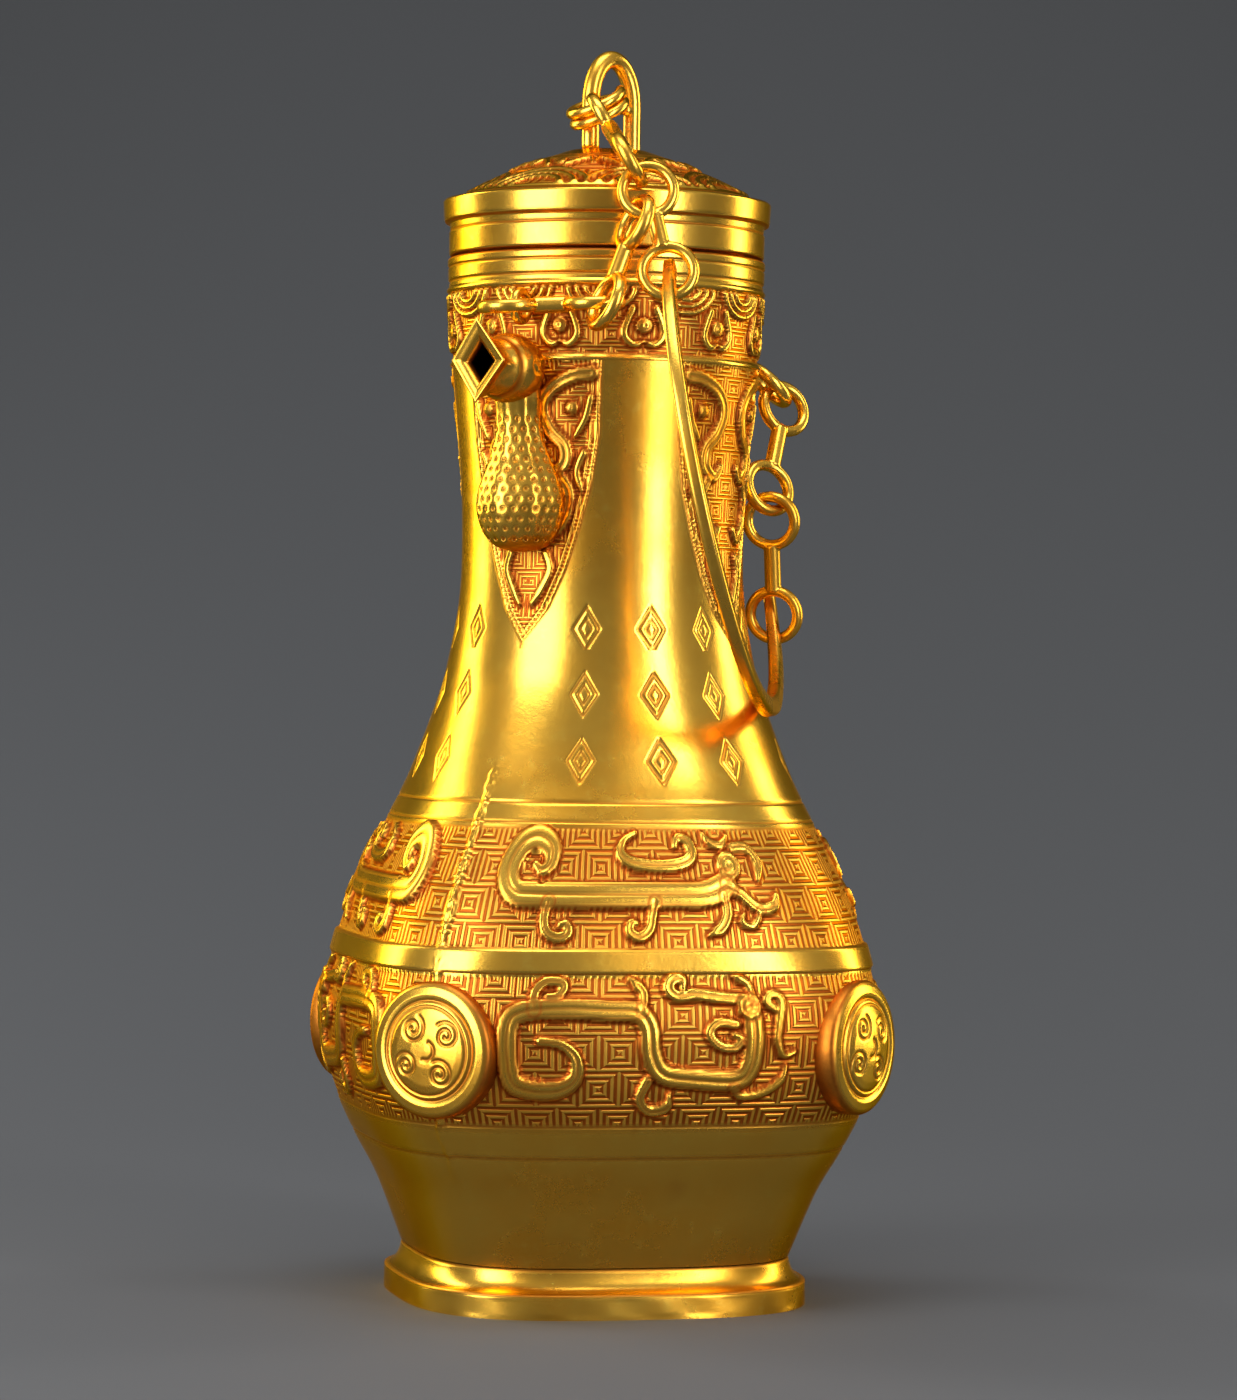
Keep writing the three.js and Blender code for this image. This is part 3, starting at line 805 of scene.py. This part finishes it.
def boss(number, angle):
    rings, around_count = 62, 132
    radius = np.linspace(0.05, BOSS_RADIUS, rings)
    turn = np.linspace(0, 2 * math.pi, around_count, endpoint=False)
    r, a = np.meshgrid(radius, turn, indexing="ij")
    across, up = r * np.cos(a), r * np.sin(a)
    height = np.interp(r, *zip(*BOSS_PROFILE))
    relief = Relief(across, up, 0 * across)
    relief.groove(r - BOSS_DOME, 0.4)
    relief.groove(r - BOSS_DOME + 1.6, 0.35)
    for place, out in BOSS_SPIRALS:
        centre = np.array([out * math.cos(math.radians(place)), out * math.sin(math.radians(place))])
        bend = np.linspace(0, 3.6 * math.pi, 40)[:, None]
        arm = centre + (0.5 + bend * 0.32) * np.hstack([np.cos(bend + place), np.sin(bend + place)])
        gap, _ = relief.distance(arm)
        relief.groove(gap, 0.45, 0.42)
    bend = np.linspace(-1.9, 1.2, 14)[:, None]
    gap, _ = relief.distance(2.6 * np.hstack([np.cos(bend), np.sin(bend)]))
    relief.groove(gap, 0.4, 0.5)
    height = height - relief.cut
    corner = float(section_reach(body_half(BOSS_Z), np.array(angle), float(squareness(BOSS_Z))))
    grid = np.stack([corner + height, across, up + BOSS_Z], -1)
    back = grid[-1].copy()
    back[:, 0] -= BOSS_SKIRT
    points = np.vstack([grid.reshape(-1, 3), back, [[corner + 2.8, 0, BOSS_Z]], [[back[0, 0], 0, BOSS_Z]]])
    c, s = math.cos(angle), math.sin(angle)
    points = np.stack([points[:, 0] * c - points[:, 1] * s, points[:, 0] * s + points[:, 1] * c, points[:, 2]], -1)
    faces = []
    for i in range(rings):
        for j in range(around_count):
            k = (j + 1) % around_count
            faces.append((i * around_count + j, (i + 1) * around_count + j, (i + 1) * around_count + k, i * around_count + k))
    front, rear = (rings + 1) * around_count, (rings + 1) * around_count + 1
    mesh = bpy.data.meshes.new(f"boss_{number}")
    tips = [(front, j, (j + 1) % around_count) for j in range(around_count)]
    last = rings * around_count
    ends = [(rear, last + (j + 1) % around_count, last + j) for j in range(around_count)]
    mesh.from_pydata((points * MM).tolist(), [], faces + tips + ends)
    mesh.materials.append(chased_gilding)
    mesh.polygons.foreach_set("use_smooth", [True] * len(mesh.polygons))
    # Painted shade: darker round the boss's edge, where it meets the belly, and on its back.
    rim = np.exp(-(((r - BOSS_RADIUS + 0.3) / 0.8) ** 2)).ravel()
    shade = np.concatenate([np.maximum(relief.shade.ravel(), rim), np.full(around_count, 0.9), [0, 0]])
    mesh.attributes.new("hollow", "FLOAT", "POINT").data.foreach_set("value", shade.astype(np.float32))
    piece = bpy.data.objects.new(f"boss_{number}", mesh)
    scene.collection.objects.link(piece)
    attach(piece, "bottle")
    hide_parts(f"corner_boss_{number}")


for index in range(FACES):
    boss(index + 1, index * math.pi / 2 - math.pi / 2)


# Spouts: a bird's head on a gourd, cast and fixed to the neck. The beak is a four-sided
# funnel, open, with painted shade inside. Small punched pits cover the gourd.
GOURD_OUT = 46
GOURD_PROFILE = [
    (220, 0.05), (220.6, 5), (222.5, 8.6), (226, 11.3), (231, 12.9), (236, 13), (242, 11.4),
    (248, 9), (254, 7.2), (260, 6.6), (266, 6.8), (272, 5), (274, 0.05),
]
HEAD_OUT = 55
HEAD_Z = 273
HEAD_PROFILE = [
    (-12.6, 0.05), (-12, 4), (-9, 7.6), (-4, 9.8), (1, 10), (5, 8.6), (8.5, 7.6), (12, 8.2),
    (15, 9.4), (16.6, 10.4), (17, 9.9), (16.6, 8.6), (15.6, 6.2), (13, 4.6), (5, 4), (4, 0.05),
]
BEAK_FROM = 6
PUNCH_ROWS = 13
PUNCH_GAP = 3.3


def round_piece(name, path, sides, shape, replaced, body="bottle", material=None, shade=None):
    """A closed skin: path gives (place, radius) along an axis, shape turns it into points."""
    turn = np.linspace(0, 2 * math.pi, sides, endpoint=False)
    t, a = np.meshgrid(np.arange(len(path)), turn, indexing="ij")
    points = shape(path[t, 0], path[t, 1], a).reshape(-1, 3) * MM
    i, j = np.meshgrid(np.arange(len(path) - 1), np.arange(sides), indexing="ij")
    k = (j + 1) % sides
    faces = np.stack([i * sides + j, i * sides + k, (i + 1) * sides + k, (i + 1) * sides + j], -1).reshape(-1, 4).tolist()
    faces.append(list(range(sides))[::-1])
    faces.append([(len(path) - 1) * sides + n for n in range(sides)])
    extras = {"hollow": shade(path[t, 0], path[t, 1], a).ravel()} if shade else None
    return mesh_piece(name, points, faces, material or chased_gilding, body, replaced, extras)


def turned_about(points, angle):
    c, s = math.cos(angle), math.sin(angle)
    x, y = points[..., 0], points[..., 1]
    return np.stack([x * c - y * s, x * s + y * c, points[..., 2]], -1)


def gourd_point(high, radius, a, angle):
    ribs = 1 + 0.02 * np.cos(8 * a)
    local = np.stack([GOURD_OUT + 3 * smoothstep((high - 240) / 30) + radius * ribs * np.cos(a),
                      radius * ribs * np.sin(a), high], -1)
    return turned_about(local, angle)


def punch_tree():
    """Geometry Nodes: a punched eyelet on every point, facing the way the point's normal does."""
    tree = bpy.data.node_groups.new("punched_pits", "GeometryNodeTree")
    tree.interface.new_socket("Points", in_out="INPUT", socket_type="NodeSocketGeometry")
    sizes = {}
    for label, value in (("Rim radius", 0.00085), ("Wire", 0.00022)):
        socket = tree.interface.new_socket(label, in_out="INPUT", socket_type="NodeSocketFloat")
        socket.default_value = value
        sizes[label] = socket.identifier
    socket = tree.interface.new_socket("Gilding", in_out="INPUT", socket_type="NodeSocketMaterial")
    sizes["Gilding"] = socket.identifier
    tree.interface.new_socket("Pits", in_out="OUTPUT", socket_type="NodeSocketGeometry")
    add = tree.nodes.new
    link = tree.links.new
    given, result = add("NodeGroupInput"), add("NodeGroupOutput")
    rim, section, sweep = add("GeometryNodeCurvePrimitiveCircle"), add("GeometryNodeCurvePrimitiveCircle"), add("GeometryNodeCurveToMesh")
    rim.inputs["Resolution"].default_value = 10
    section.inputs["Resolution"].default_value = 5
    link(given.outputs["Rim radius"], rim.inputs["Radius"])
    link(given.outputs["Wire"], section.inputs["Radius"])
    link(rim.outputs[0], sweep.inputs["Curve"])
    link(section.outputs[0], sweep.inputs["Profile Curve"])
    facing, align = add("GeometryNodeInputNamedAttribute"), add("FunctionNodeAlignRotationToVector")
    facing.data_type = "FLOAT_VECTOR"
    facing.inputs["Name"].default_value = "facing"
    align.axis = "Z"
    link(facing.outputs["Attribute"], align.inputs["Vector"])
    stamp, real, finish = add("GeometryNodeInstanceOnPoints"), add("GeometryNodeRealizeInstances"), add("GeometryNodeSetMaterial")
    link(given.outputs["Points"], stamp.inputs["Points"])
    link(sweep.outputs[0], stamp.inputs["Instance"])
    link(align.outputs[0], stamp.inputs["Rotation"])
    link(stamp.outputs[0], real.inputs[0])
    link(real.outputs[0], finish.inputs["Geometry"])
    link(given.outputs["Gilding"], finish.inputs["Material"])
    link(finish.outputs[0], result.inputs[0])
    return tree, sizes


punch, punch_sizes = punch_tree()


def settled(holder, name, body):
    """The evaluated result of a holder with modifiers, as a plain mesh that rides."""
    bpy.context.view_layer.update()
    shown = holder.evaluated_get(bpy.context.evaluated_depsgraph_get())
    mesh = bpy.data.meshes.new_from_object(shown)
    mesh.name = name
    mesh.polygons.foreach_set("use_smooth", [True] * len(mesh.polygons))
    bpy.data.objects.remove(holder)
    piece = bpy.data.objects.new(name, mesh)
    scene.collection.objects.link(piece)
    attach(piece, body)
    return piece


def gourd_spots():
    """Height and angle of each pit: rows about one pitch apart, staggered."""
    spots = []
    for row in range(PUNCH_ROWS):
        high = 223.5 + row * 2.9
        radius = float(np.interp(high, *zip(*GOURD_PROFILE)))
        count = max(6, round(2 * math.pi * radius / PUNCH_GAP))
        for k in range(count):
            spots.append((high, 2 * math.pi * (k + 0.5 * (row % 2)) / count))
    return spots


def spout(side, angle):
    heights = zone(220, 274, 0.5)
    path = np.stack([heights, np.interp(heights, *zip(*catmull(GOURD_PROFILE, 6)))], -1)
    spots = np.array(gourd_spots())

    def skin(high, radius, a):
        near = np.full(high.shape, 9.0)
        for spot_high, spot_turn in spots:
            swing = (a - spot_turn + math.pi) % (2 * math.pi) - math.pi
            near = np.minimum(near, np.hypot((high - spot_high), swing * radius))
        pit = 0.45 * np.exp(-((near / 0.6) ** 2))
        return gourd_point(high, np.maximum(radius - pit, 0.05), a, angle)

    def pit_shade(high, radius, a):
        near = np.full(high.shape, 9.0)
        for spot_high, spot_turn in spots:
            swing = (a - spot_turn + math.pi) % (2 * math.pi) - math.pi
            near = np.minimum(near, np.hypot((high - spot_high), swing * radius))
        foot = smoothstep((225 - high) / 5) * 0.5 + smoothstep((high - 262) / 8) * 0.8
        return np.clip(np.exp(-((near / 0.65) ** 2)) + foot, 0, 1)

    round_piece(f"{side}_gourd", path, 150, skin, (), shade=pit_shade)
    at, facing = [], []
    for high, turn in spots:
        radius = float(np.interp(high, *zip(*GOURD_PROFILE)))
        if math.cos(turn) * radius > -2:
            at.append(gourd_point(np.array(high), np.array(radius), np.array(turn), angle) * MM)
            facing.append(turned_about(np.array([math.cos(turn), math.sin(turn), 0.0]), angle))
    mesh = bpy.data.meshes.new(f"{side}_pit_points")
    mesh.from_pydata([tuple(p) for p in at], [], [])
    mesh.attributes.new("facing", "FLOAT_VECTOR", "POINT").data.foreach_set("vector", np.array(facing, np.float32).ravel())
    holder = bpy.data.objects.new(f"{side}_pit_points", mesh)
    scene.collection.objects.link(holder)
    pits = holder.modifiers.new("pits", "NODES")
    pits.node_group = punch
    pits[punch_sizes["Rim radius"]] = 0.00065
    pits[punch_sizes["Wire"]] = 0.00012
    pits[punch_sizes["Gilding"]] = plain_gilding
    settled(holder, f"{side}_pit_rims", "bottle")

    out = catmull(HEAD_PROFILE, 7)

    def head(place, radius, a):
        diamond = smoothstep((place - BEAK_FROM) / 7)
        wide = np.cos(a) * radius
        high = np.sin(a) * radius
        square = (np.abs(np.cos(a)) + np.abs(np.sin(a)))
        wide = wide * (1 - diamond + diamond * 0.86 / square)
        high = high * (1 - diamond + diamond * 1.18 / square)
        tilt = 0.12 * (place - BEAK_FROM) * diamond
        fold = 0.35 * np.exp(-(((place - BEAK_FROM + 1) / 0.8) ** 2))
        swirl = np.abs(((np.arctan2(high - 1, place + 1) / (2 * math.pi) * 1.0
                         + np.hypot(high - 1, place + 1) / 3.4) % 1) - 0.5)
        near = np.exp(-((np.hypot(high - 1, place + 1) / 4.2) ** 4)) * (np.abs(np.cos(a)) > 0.5)
        feathers = 0.3 * smoothstep((np.cos(14 * a) - 0.3) / 0.5) * smoothstep((-3 - place) / 2)
        carve = 0.4 * near * smoothstep((0.16 - swirl) / 0.1) + fold + feathers
        lean = np.hypot(wide, high) + 1e-6
        wide, high = wide * (1 - carve / lean), high * (1 - carve / lean)
        local = np.stack([HEAD_OUT + place - np.abs(wide) * 0.14 * diamond, wide, HEAD_Z + high + tilt], -1)
        return turned_about(local, angle)

    def head_shade(place, radius, a):
        # Painted shade: the inside of the beak is painted near black, and the fold behind the beak darker.
        order = np.arange(len(out))[:, None] / len(out)
        inside = 1.7 * smoothstep((order - 0.8) / 0.08) + 0 * a
        swirl = np.exp(-(((place - BEAK_FROM + 1) / 1.0) ** 2)) * 0.8
        return np.clip(inside + swirl + 0.08, 0, 1.7)

    round_piece(f"{side}_head", out, 120, head, [f"{side}_spout"], shade=head_shade)


spout("front", -math.pi / 2)
spout("rear", math.pi / 2)


# Lid: a turned and cast cover with a stepped rim, a relief ring of swags on its slope and
# a plain cone in the middle. Its plug drops into the mouth.
LID_PROFILE = [
    (40.6, 302.6), (43.4, 302.4), (43.6, 308.6), (46.6, 308.9), (47, 309.4), (47.1, 315.9),
    (46.6, 316.3), (46.8, 316.7), (47, 318.6), (48.4, 319),
    (48.6, 320), (48.9, 325), (48.5, 325.5), (46.5, 325.8), (43, 326.8), (42.4, 327.5),
    (30.5, 333.2), (30, 333.9), (20, 338.2), (19, 338.4), (12, 340.8), (4, 341), (0.05, 341),
]
LID_INSIDE = [(0.05, 338), (12, 338), (30.5, 330.5), (40.6, 319)]
LID_SIDES = 480
LID_EYES = 8


def fine_path(points, step):
    p = np.array(points, float)
    runs = []
    for a, b in zip(p, p[1:]):
        count = max(2, int(np.hypot(*(b - a)) / step))
        runs.append(a + (b - a) * np.linspace(0, 1, count, endpoint=False)[:, None])
    return np.vstack([*runs, p[-1:]])


def lid():
    outer = fine_path(LID_PROFILE, 0.45)
    inner = fine_path(LID_INSIDE, 4)
    path = np.vstack([outer, inner])
    turn = np.linspace(0, 2 * math.pi, LID_SIDES, endpoint=False)
    r, a = np.meshgrid(path[:, 0], turn, indexing="ij")
    z = np.repeat(path[:, 1:2], LID_SIDES, axis=1)
    slope = (r > 20.5) & (r < 42) & (np.arange(len(path)) < len(outer))[:, None] & (z > 326)
    period = 2 * math.pi / LID_EYES
    swing = (a + period / 2) % period - period / 2
    across = swing * 32
    relief = Relief(across, r, smoothstep((r - 20.5) / 0.6) * smoothstep((42 - r) / 0.6) * slope)
    gap = np.hypot(across * 0.8, r - 42)
    for ring in (10.5, 7.8, 5.1):
        bar = smoothstep((0.8 - np.abs(gap - ring)) / 0.5 + 0.3)
        relief.raised = np.maximum(relief.raised, 0.8 * bar)
        relief.cover = np.maximum(relief.cover, bar)
        relief.shade = np.maximum(relief.shade, np.exp(-(((np.abs(gap - ring) - 1.1) / 0.35) ** 2)))
    relief.eye(0, 26, 2.2, 1.1)
    for side in (-1, 1):
        relief.ribbon([(side * 3.5, 29), (side * 7, 25.5), (side * 11, 24), (side * 12, 28)], 1.1, 0.9, thin_end=0.5)
    rise, ground, hollow = relief.result()
    rise, ground, hollow = rise * slope, ground * slope, hollow * slope
    z = z + rise * 0.9
    points = np.stack([r * np.cos(a), r * np.sin(a), z], -1).reshape(-1, 3) * MM
    # Painted shade: darker bands at each step of the rim and cone.
    edges = np.zeros(len(path))
    for edge in (308.7, 316.3, 318.9, 326.2, 333.7, 338.4):
        edges = np.maximum(edges, np.exp(-(((path[:, 1] - edge) / 0.35) ** 2)) * (np.arange(len(path)) < len(outer)))
    hollow = np.maximum(hollow, edges[:, None] * 0.8)
    extras = {
        "chart": np.stack([a * 32, r, 0 * r], -1).reshape(-1, 3),
        "ground": ground.ravel(),
        "hollow": np.clip(hollow, 0, 1).ravel(),
    }
    mesh_piece("lid", points, closed_grid(len(path), LID_SIDES), chased_gilding, "lid", ["lid_shell"], extras)


lid()


# Wire work: the loop on the lid, the lug eyes, the chain's eight-shaped links, the split
# ring and the bow. The lug eyes, links, split ring and bow take their place from the solids
# that they stand for; the lid loop is placed by its own numbers.
def solid_points(name):
    mesh = nodes[name].data
    co = np.zeros(len(mesh.vertices) * 3)
    mesh.vertices.foreach_get("co", co)
    return co.reshape(-1, 3)


def own_frame(name):
    """Middle and axes of a solid: longest way first, flattest way last."""
    points = np.unique(solid_points(name).round(7), axis=0)
    middle = points.mean(0)
    _, _, axes = np.linalg.svd(points - middle, full_matrices=False)
    if np.linalg.det(axes) < 0:
        axes[2] *= -1
    spread = (points - middle) @ axes.T
    middle = middle + (spread.max(0) + spread.min(0)) / 2 @ axes
    return middle, axes, np.ptp(spread, axis=0)


LINK_WIRE = 0.0034
LINK_DEEP = 0.0039
LINK_RING = 0.0182
LINK_BAR = 0.005


def link_tree():
    """Geometry Nodes: two rings and the bar between them, before they are melted together."""
    tree = bpy.data.node_groups.new("eight_link", "GeometryNodeTree")
    tree.interface.new_socket("Geometry", in_out="INPUT", socket_type="NodeSocketGeometry")
    ids = {}
    for label, value in (("Length", 0.0432), ("Ring", LINK_RING), ("Wire", LINK_WIRE), ("Depth", LINK_DEEP), ("Bar", LINK_BAR)):
        socket = tree.interface.new_socket(label, in_out="INPUT", socket_type="NodeSocketFloat")
        socket.default_value = value
        ids[label] = socket.identifier
    socket = tree.interface.new_socket("Gilding", in_out="INPUT", socket_type="NodeSocketMaterial")
    ids["Gilding"] = socket.identifier
    tree.interface.new_socket("Link", in_out="OUTPUT", socket_type="NodeSocketGeometry")
    add = tree.nodes.new

    def join(a, b):
        tree.links.new(a, b)

    def maths(operation, a, b):
        made = add("ShaderNodeMath")
        made.operation = operation
        for slot, value in zip(made.inputs, (a, b)):
            if isinstance(value, (int, float)):
                slot.default_value = value
            else:
                join(value, slot)
        return made.outputs[0]

    given, result = add("NodeGroupInput"), add("NodeGroupOutput")
    size = given.outputs
    middle_line = maths("MULTIPLY", maths("SUBTRACT", size["Ring"], size["Wire"]), 0.5)
    reach = maths("MULTIPLY", maths("SUBTRACT", size["Length"], size["Ring"]), 0.5)
    circle, wire = add("GeometryNodeCurvePrimitiveCircle"), add("GeometryNodeCurvePrimitiveCircle")
    circle.inputs["Resolution"].default_value = 48
    wire.inputs["Resolution"].default_value = 14
    join(middle_line, circle.inputs["Radius"])
    join(maths("MULTIPLY", size["Wire"], 0.5), wire.inputs["Radius"])
    flatten, shape = add("GeometryNodeTransform"), add("ShaderNodeCombineXYZ")
    shape.inputs["X"].default_value = 1
    join(maths("DIVIDE", size["Depth"], size["Wire"]), shape.inputs["Y"])
    shape.inputs["Z"].default_value = 1
    join(wire.outputs[0], flatten.inputs["Geometry"])
    join(shape.outputs[0], flatten.inputs["Scale"])
    ring = add("GeometryNodeCurveToMesh")
    join(circle.outputs[0], ring.inputs["Curve"])
    join(flatten.outputs[0], ring.inputs["Profile Curve"])
    together = add("GeometryNodeJoinGeometry")
    for sign in (-1, 1):
        move, place = add("GeometryNodeTransform"), add("ShaderNodeCombineXYZ")
        join(maths("MULTIPLY", reach, sign), place.inputs["X"])
        join(ring.outputs[0], move.inputs["Geometry"])
        join(place.outputs[0], move.inputs["Translation"])
        join(move.outputs[0], together.inputs[0])
    bar, lay = add("GeometryNodeMeshCylinder"), add("GeometryNodeTransform")
    bar.inputs["Vertices"].default_value = 20
    join(maths("MULTIPLY", size["Bar"], 0.5), bar.inputs["Radius"])
    join(maths("SUBTRACT", maths("MULTIPLY", reach, 2), maths("MULTIPLY", middle_line, 2)), bar.inputs["Depth"])
    lay.inputs["Rotation"].default_value = (0, math.pi / 2, 0)
    join(bar.outputs["Mesh"], lay.inputs["Geometry"])
    join(lay.outputs[0], together.inputs[0])
    real, finish = add("GeometryNodeRealizeInstances"), add("GeometryNodeSetMaterial")
    join(together.outputs[0], real.inputs[0])
    join(real.outputs[0], finish.inputs["Geometry"])
    join(size["Gilding"], finish.inputs["Material"])
    join(finish.outputs[0], result.inputs[0])
    return tree, ids


eight_link, link_ids = link_tree()


def link(name, body):
    middle, axes, spread = own_frame(name)
    holder = bpy.data.objects.new(name + "_cast", bpy.data.meshes.new(name + "_cast"))
    scene.collection.objects.link(holder)
    made = holder.modifiers.new("link", "NODES")
    made.node_group = eight_link
    made[link_ids["Length"]] = float(spread[0])
    made[link_ids["Ring"]] = LINK_RING
    made[link_ids["Wire"]] = LINK_WIRE
    made[link_ids["Depth"]] = LINK_DEEP
    made[link_ids["Bar"]] = LINK_BAR
    made[link_ids["Gilding"]] = plain_gilding
    melt = holder.modifiers.new("melt", "REMESH")
    melt.mode = "VOXEL"
    melt.voxel_size = 0.00026
    ease = holder.modifiers.new("ease", "SMOOTH")
    ease.iterations = 2
    ease.factor = 0.5
    bpy.context.view_layer.update()
    shown = holder.evaluated_get(bpy.context.evaluated_depsgraph_get())
    mesh = bpy.data.meshes.new_from_object(shown)
    bpy.data.objects.remove(holder)
    co = np.zeros(len(mesh.vertices) * 3)
    mesh.vertices.foreach_get("co", co)
    co = co.reshape(-1, 3) @ axes + middle
    mesh.vertices.foreach_set("co", co.ravel())
    mesh.polygons.foreach_set("use_smooth", [True] * len(mesh.polygons))
    mesh.materials.clear()
    mesh.materials.append(plain_gilding)
    mesh.update()
    piece = bpy.data.objects.new(name + "_eight", mesh)
    scene.collection.objects.link(piece)
    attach(piece, body)
    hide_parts(name)


for chain_piece in ("front_link_1", "front_link_2", "front_link_3", "rear_link_1", "rear_link_2", "rear_link_3", "lid_link"):
    link(chain_piece, chain_piece)


def swept(name, path, section, closed, body, replaced, up=None):
    """A bar along a path: section holds (across, up) offsets at each step."""
    path = np.asarray(path, float)
    ahead = np.roll(path, -1, 0) - np.roll(path, 1, 0)
    if not closed:
        ahead[0], ahead[-1] = path[1] - path[0], path[-1] - path[-2]
    ahead /= np.linalg.norm(ahead, axis=1, keepdims=True)
    lift = np.asarray(up, float) if up is not None else np.array([0, 0, 1.0])
    across = np.cross(ahead, lift)
    across /= np.linalg.norm(across, axis=1, keepdims=True)
    lift = np.cross(across, ahead)
    points = (path[:, None] + across[:, None] * section[..., :1] + lift[:, None] * section[..., 1:]).reshape(-1, 3)
    steps, sides = len(path), section.shape[1]
    rows = steps if closed else steps - 1
    i, j = np.meshgrid(np.arange(rows), np.arange(sides), indexing="ij")
    i2, j2 = (i + 1) % steps, (j + 1) % sides
    faces = np.stack([i * sides + j, i * sides + j2, i2 * sides + j2, i2 * sides + j], -1).reshape(-1, 4).tolist()
    if not closed:
        faces.append(list(range(sides))[::-1])
        faces.append([(steps - 1) * sides + n for n in range(sides)])
    piece = mesh_piece(name, points, faces, plain_gilding, body, replaced, None)
    return piece


def rounded_bar(steps, wide, deep, sides=20, power=4.0, thin=None):
    a = np.linspace(2 * math.pi, 0, sides, endpoint=False)
    c, s = np.cos(a), np.sin(a)
    size = (np.abs(c) ** power + np.abs(s) ** power) ** (-1 / power)
    shape = np.stack([size * c * wide / 2, size * s * deep / 2], -1)
    scale = np.ones(steps) if thin is None else thin
    return shape[None] * scale[:, None, None]


LUG_WIRE = 2.6


def lug(name):
    middle, axes, spread = own_frame(name)
    turn = np.linspace(0, 2 * math.pi, 72, endpoint=False)
    radius = (spread[0] - LUG_WIRE * MM) / 2
    path = middle + radius * (np.cos(turn)[:, None] * axes[0] + np.sin(turn)[:, None] * axes[1])
    swept(name + "_ring", path, rounded_bar(72, LUG_WIRE * MM, LUG_WIRE * MM, 18, 2.4), True, "bottle", [name], axes[2])


lug("front_lug_eye")
lug("rear_lug_eye")


LOOP_WIRE = 5.3
LOOP_HALF = 8.3
LOOP_LOW = 341.3
LOOP_TOP = 371
LOOP_SIDE = 1
LOOP_TURN = math.radians(73)


def lid_loop():
    top = LOOP_TOP - LOOP_WIRE / 2
    middle = (LOOP_LOW + top) / 2
    bend = np.linspace(0, math.pi, 60)
    arch = np.stack([-LOOP_HALF * np.cos(bend), 0 * bend, middle + (top - middle) * np.sin(bend)], -1)
    leg = np.linspace(LOOP_LOW, middle, 14, endpoint=False)
    left = np.stack([-LOOP_HALF + 0 * leg, 0 * leg, leg], -1)
    right = left[::-1] * [-1, 1, 1]
    path = turned_about(np.vstack([left, arch, right]), LOOP_TURN) + [LOOP_SIDE, 0, 0]
    flat = turned_about(np.array([0, 1.0, 0]), LOOP_TURN)
    section = rounded_bar(len(path), LOOP_WIRE * MM, LOOP_WIRE * MM, 24, 2)
    swept("lid_loop_arch", path * MM, section, False, "lid", ["lid_loop"], flat)


lid_loop()


COIL_WIRE = 3.2
COIL_TURNS = 2


def split_ring():
    middle, axes, spread = own_frame("lid_split_ring")
    points = solid_points("lid_split_ring") - middle
    axis = axes[2]
    rise = points @ axis
    end = points[rise < rise.min() + 0.0004].mean(0)
    start = end - (end @ axis) * axis
    start /= np.linalg.norm(start)
    side = np.cross(axis, start)
    radius = (spread[0] - COIL_WIRE * MM) / 2
    high = spread[2] - COIL_WIRE * MM
    t = np.linspace(0, 1, 150)
    turn = 2 * math.pi * COIL_TURNS * t
    path = middle + radius * (np.cos(turn)[:, None] * start + np.sin(turn)[:, None] * side) + (t - 0.5)[:, None] * high * axis
    section = rounded_bar(len(t), COIL_WIRE * MM, COIL_WIRE * MM, 20, 2)
    swept("split_ring_coil", path, section, False, "split_ring", ["lid_split_ring"], axis)


split_ring()


BOW_WIDE = 5.6
BOW_THICK = 4
BOW_STEPS = 220


def bow():
    points = np.unique(solid_points("bow_handle").round(7), axis=0)
    _, axes, _ = own_frame("bow_handle")
    face = axes[2]
    flat = np.stack([points @ axes[0], points @ axes[1]], -1)
    fit = np.linalg.lstsq(np.hstack([2 * flat, np.ones((len(flat), 1))]), (flat**2).sum(1), rcond=None)[0]
    centre = fit[:2]
    radius = np.hypot(*(flat - centre).T)
    radius = (radius.max() + radius.min()) / 2
    bearing = np.sort(np.arctan2(*(flat - centre).T[::-1]))
    gaps = np.diff(np.append(bearing, bearing[0] + 2 * math.pi))
    first = bearing[(gaps.argmax() + 1) % len(bearing)]
    sweep = 2 * math.pi - gaps.max()
    turn = first + np.linspace(0, sweep, BOW_STEPS)
    depth = (points @ face).max() / 2 + (points @ face).min() / 2
    path = (centre[0] + radius * np.cos(turn))[:, None] * axes[0] + (centre[1] + radius * np.sin(turn))[:, None] * axes[1] + depth * face
    ends = np.minimum(np.linspace(0, 1, BOW_STEPS), np.linspace(1, 0, BOW_STEPS))
    thin = 0.86 + 0.14 * smoothstep(ends / 0.12)
    section = rounded_bar(BOW_STEPS, BOW_WIDE * MM, BOW_THICK * MM, 24, 5, thin)
    swept("bow_bar", path, section, False, "bow", ["bow_handle"], face)


bow()
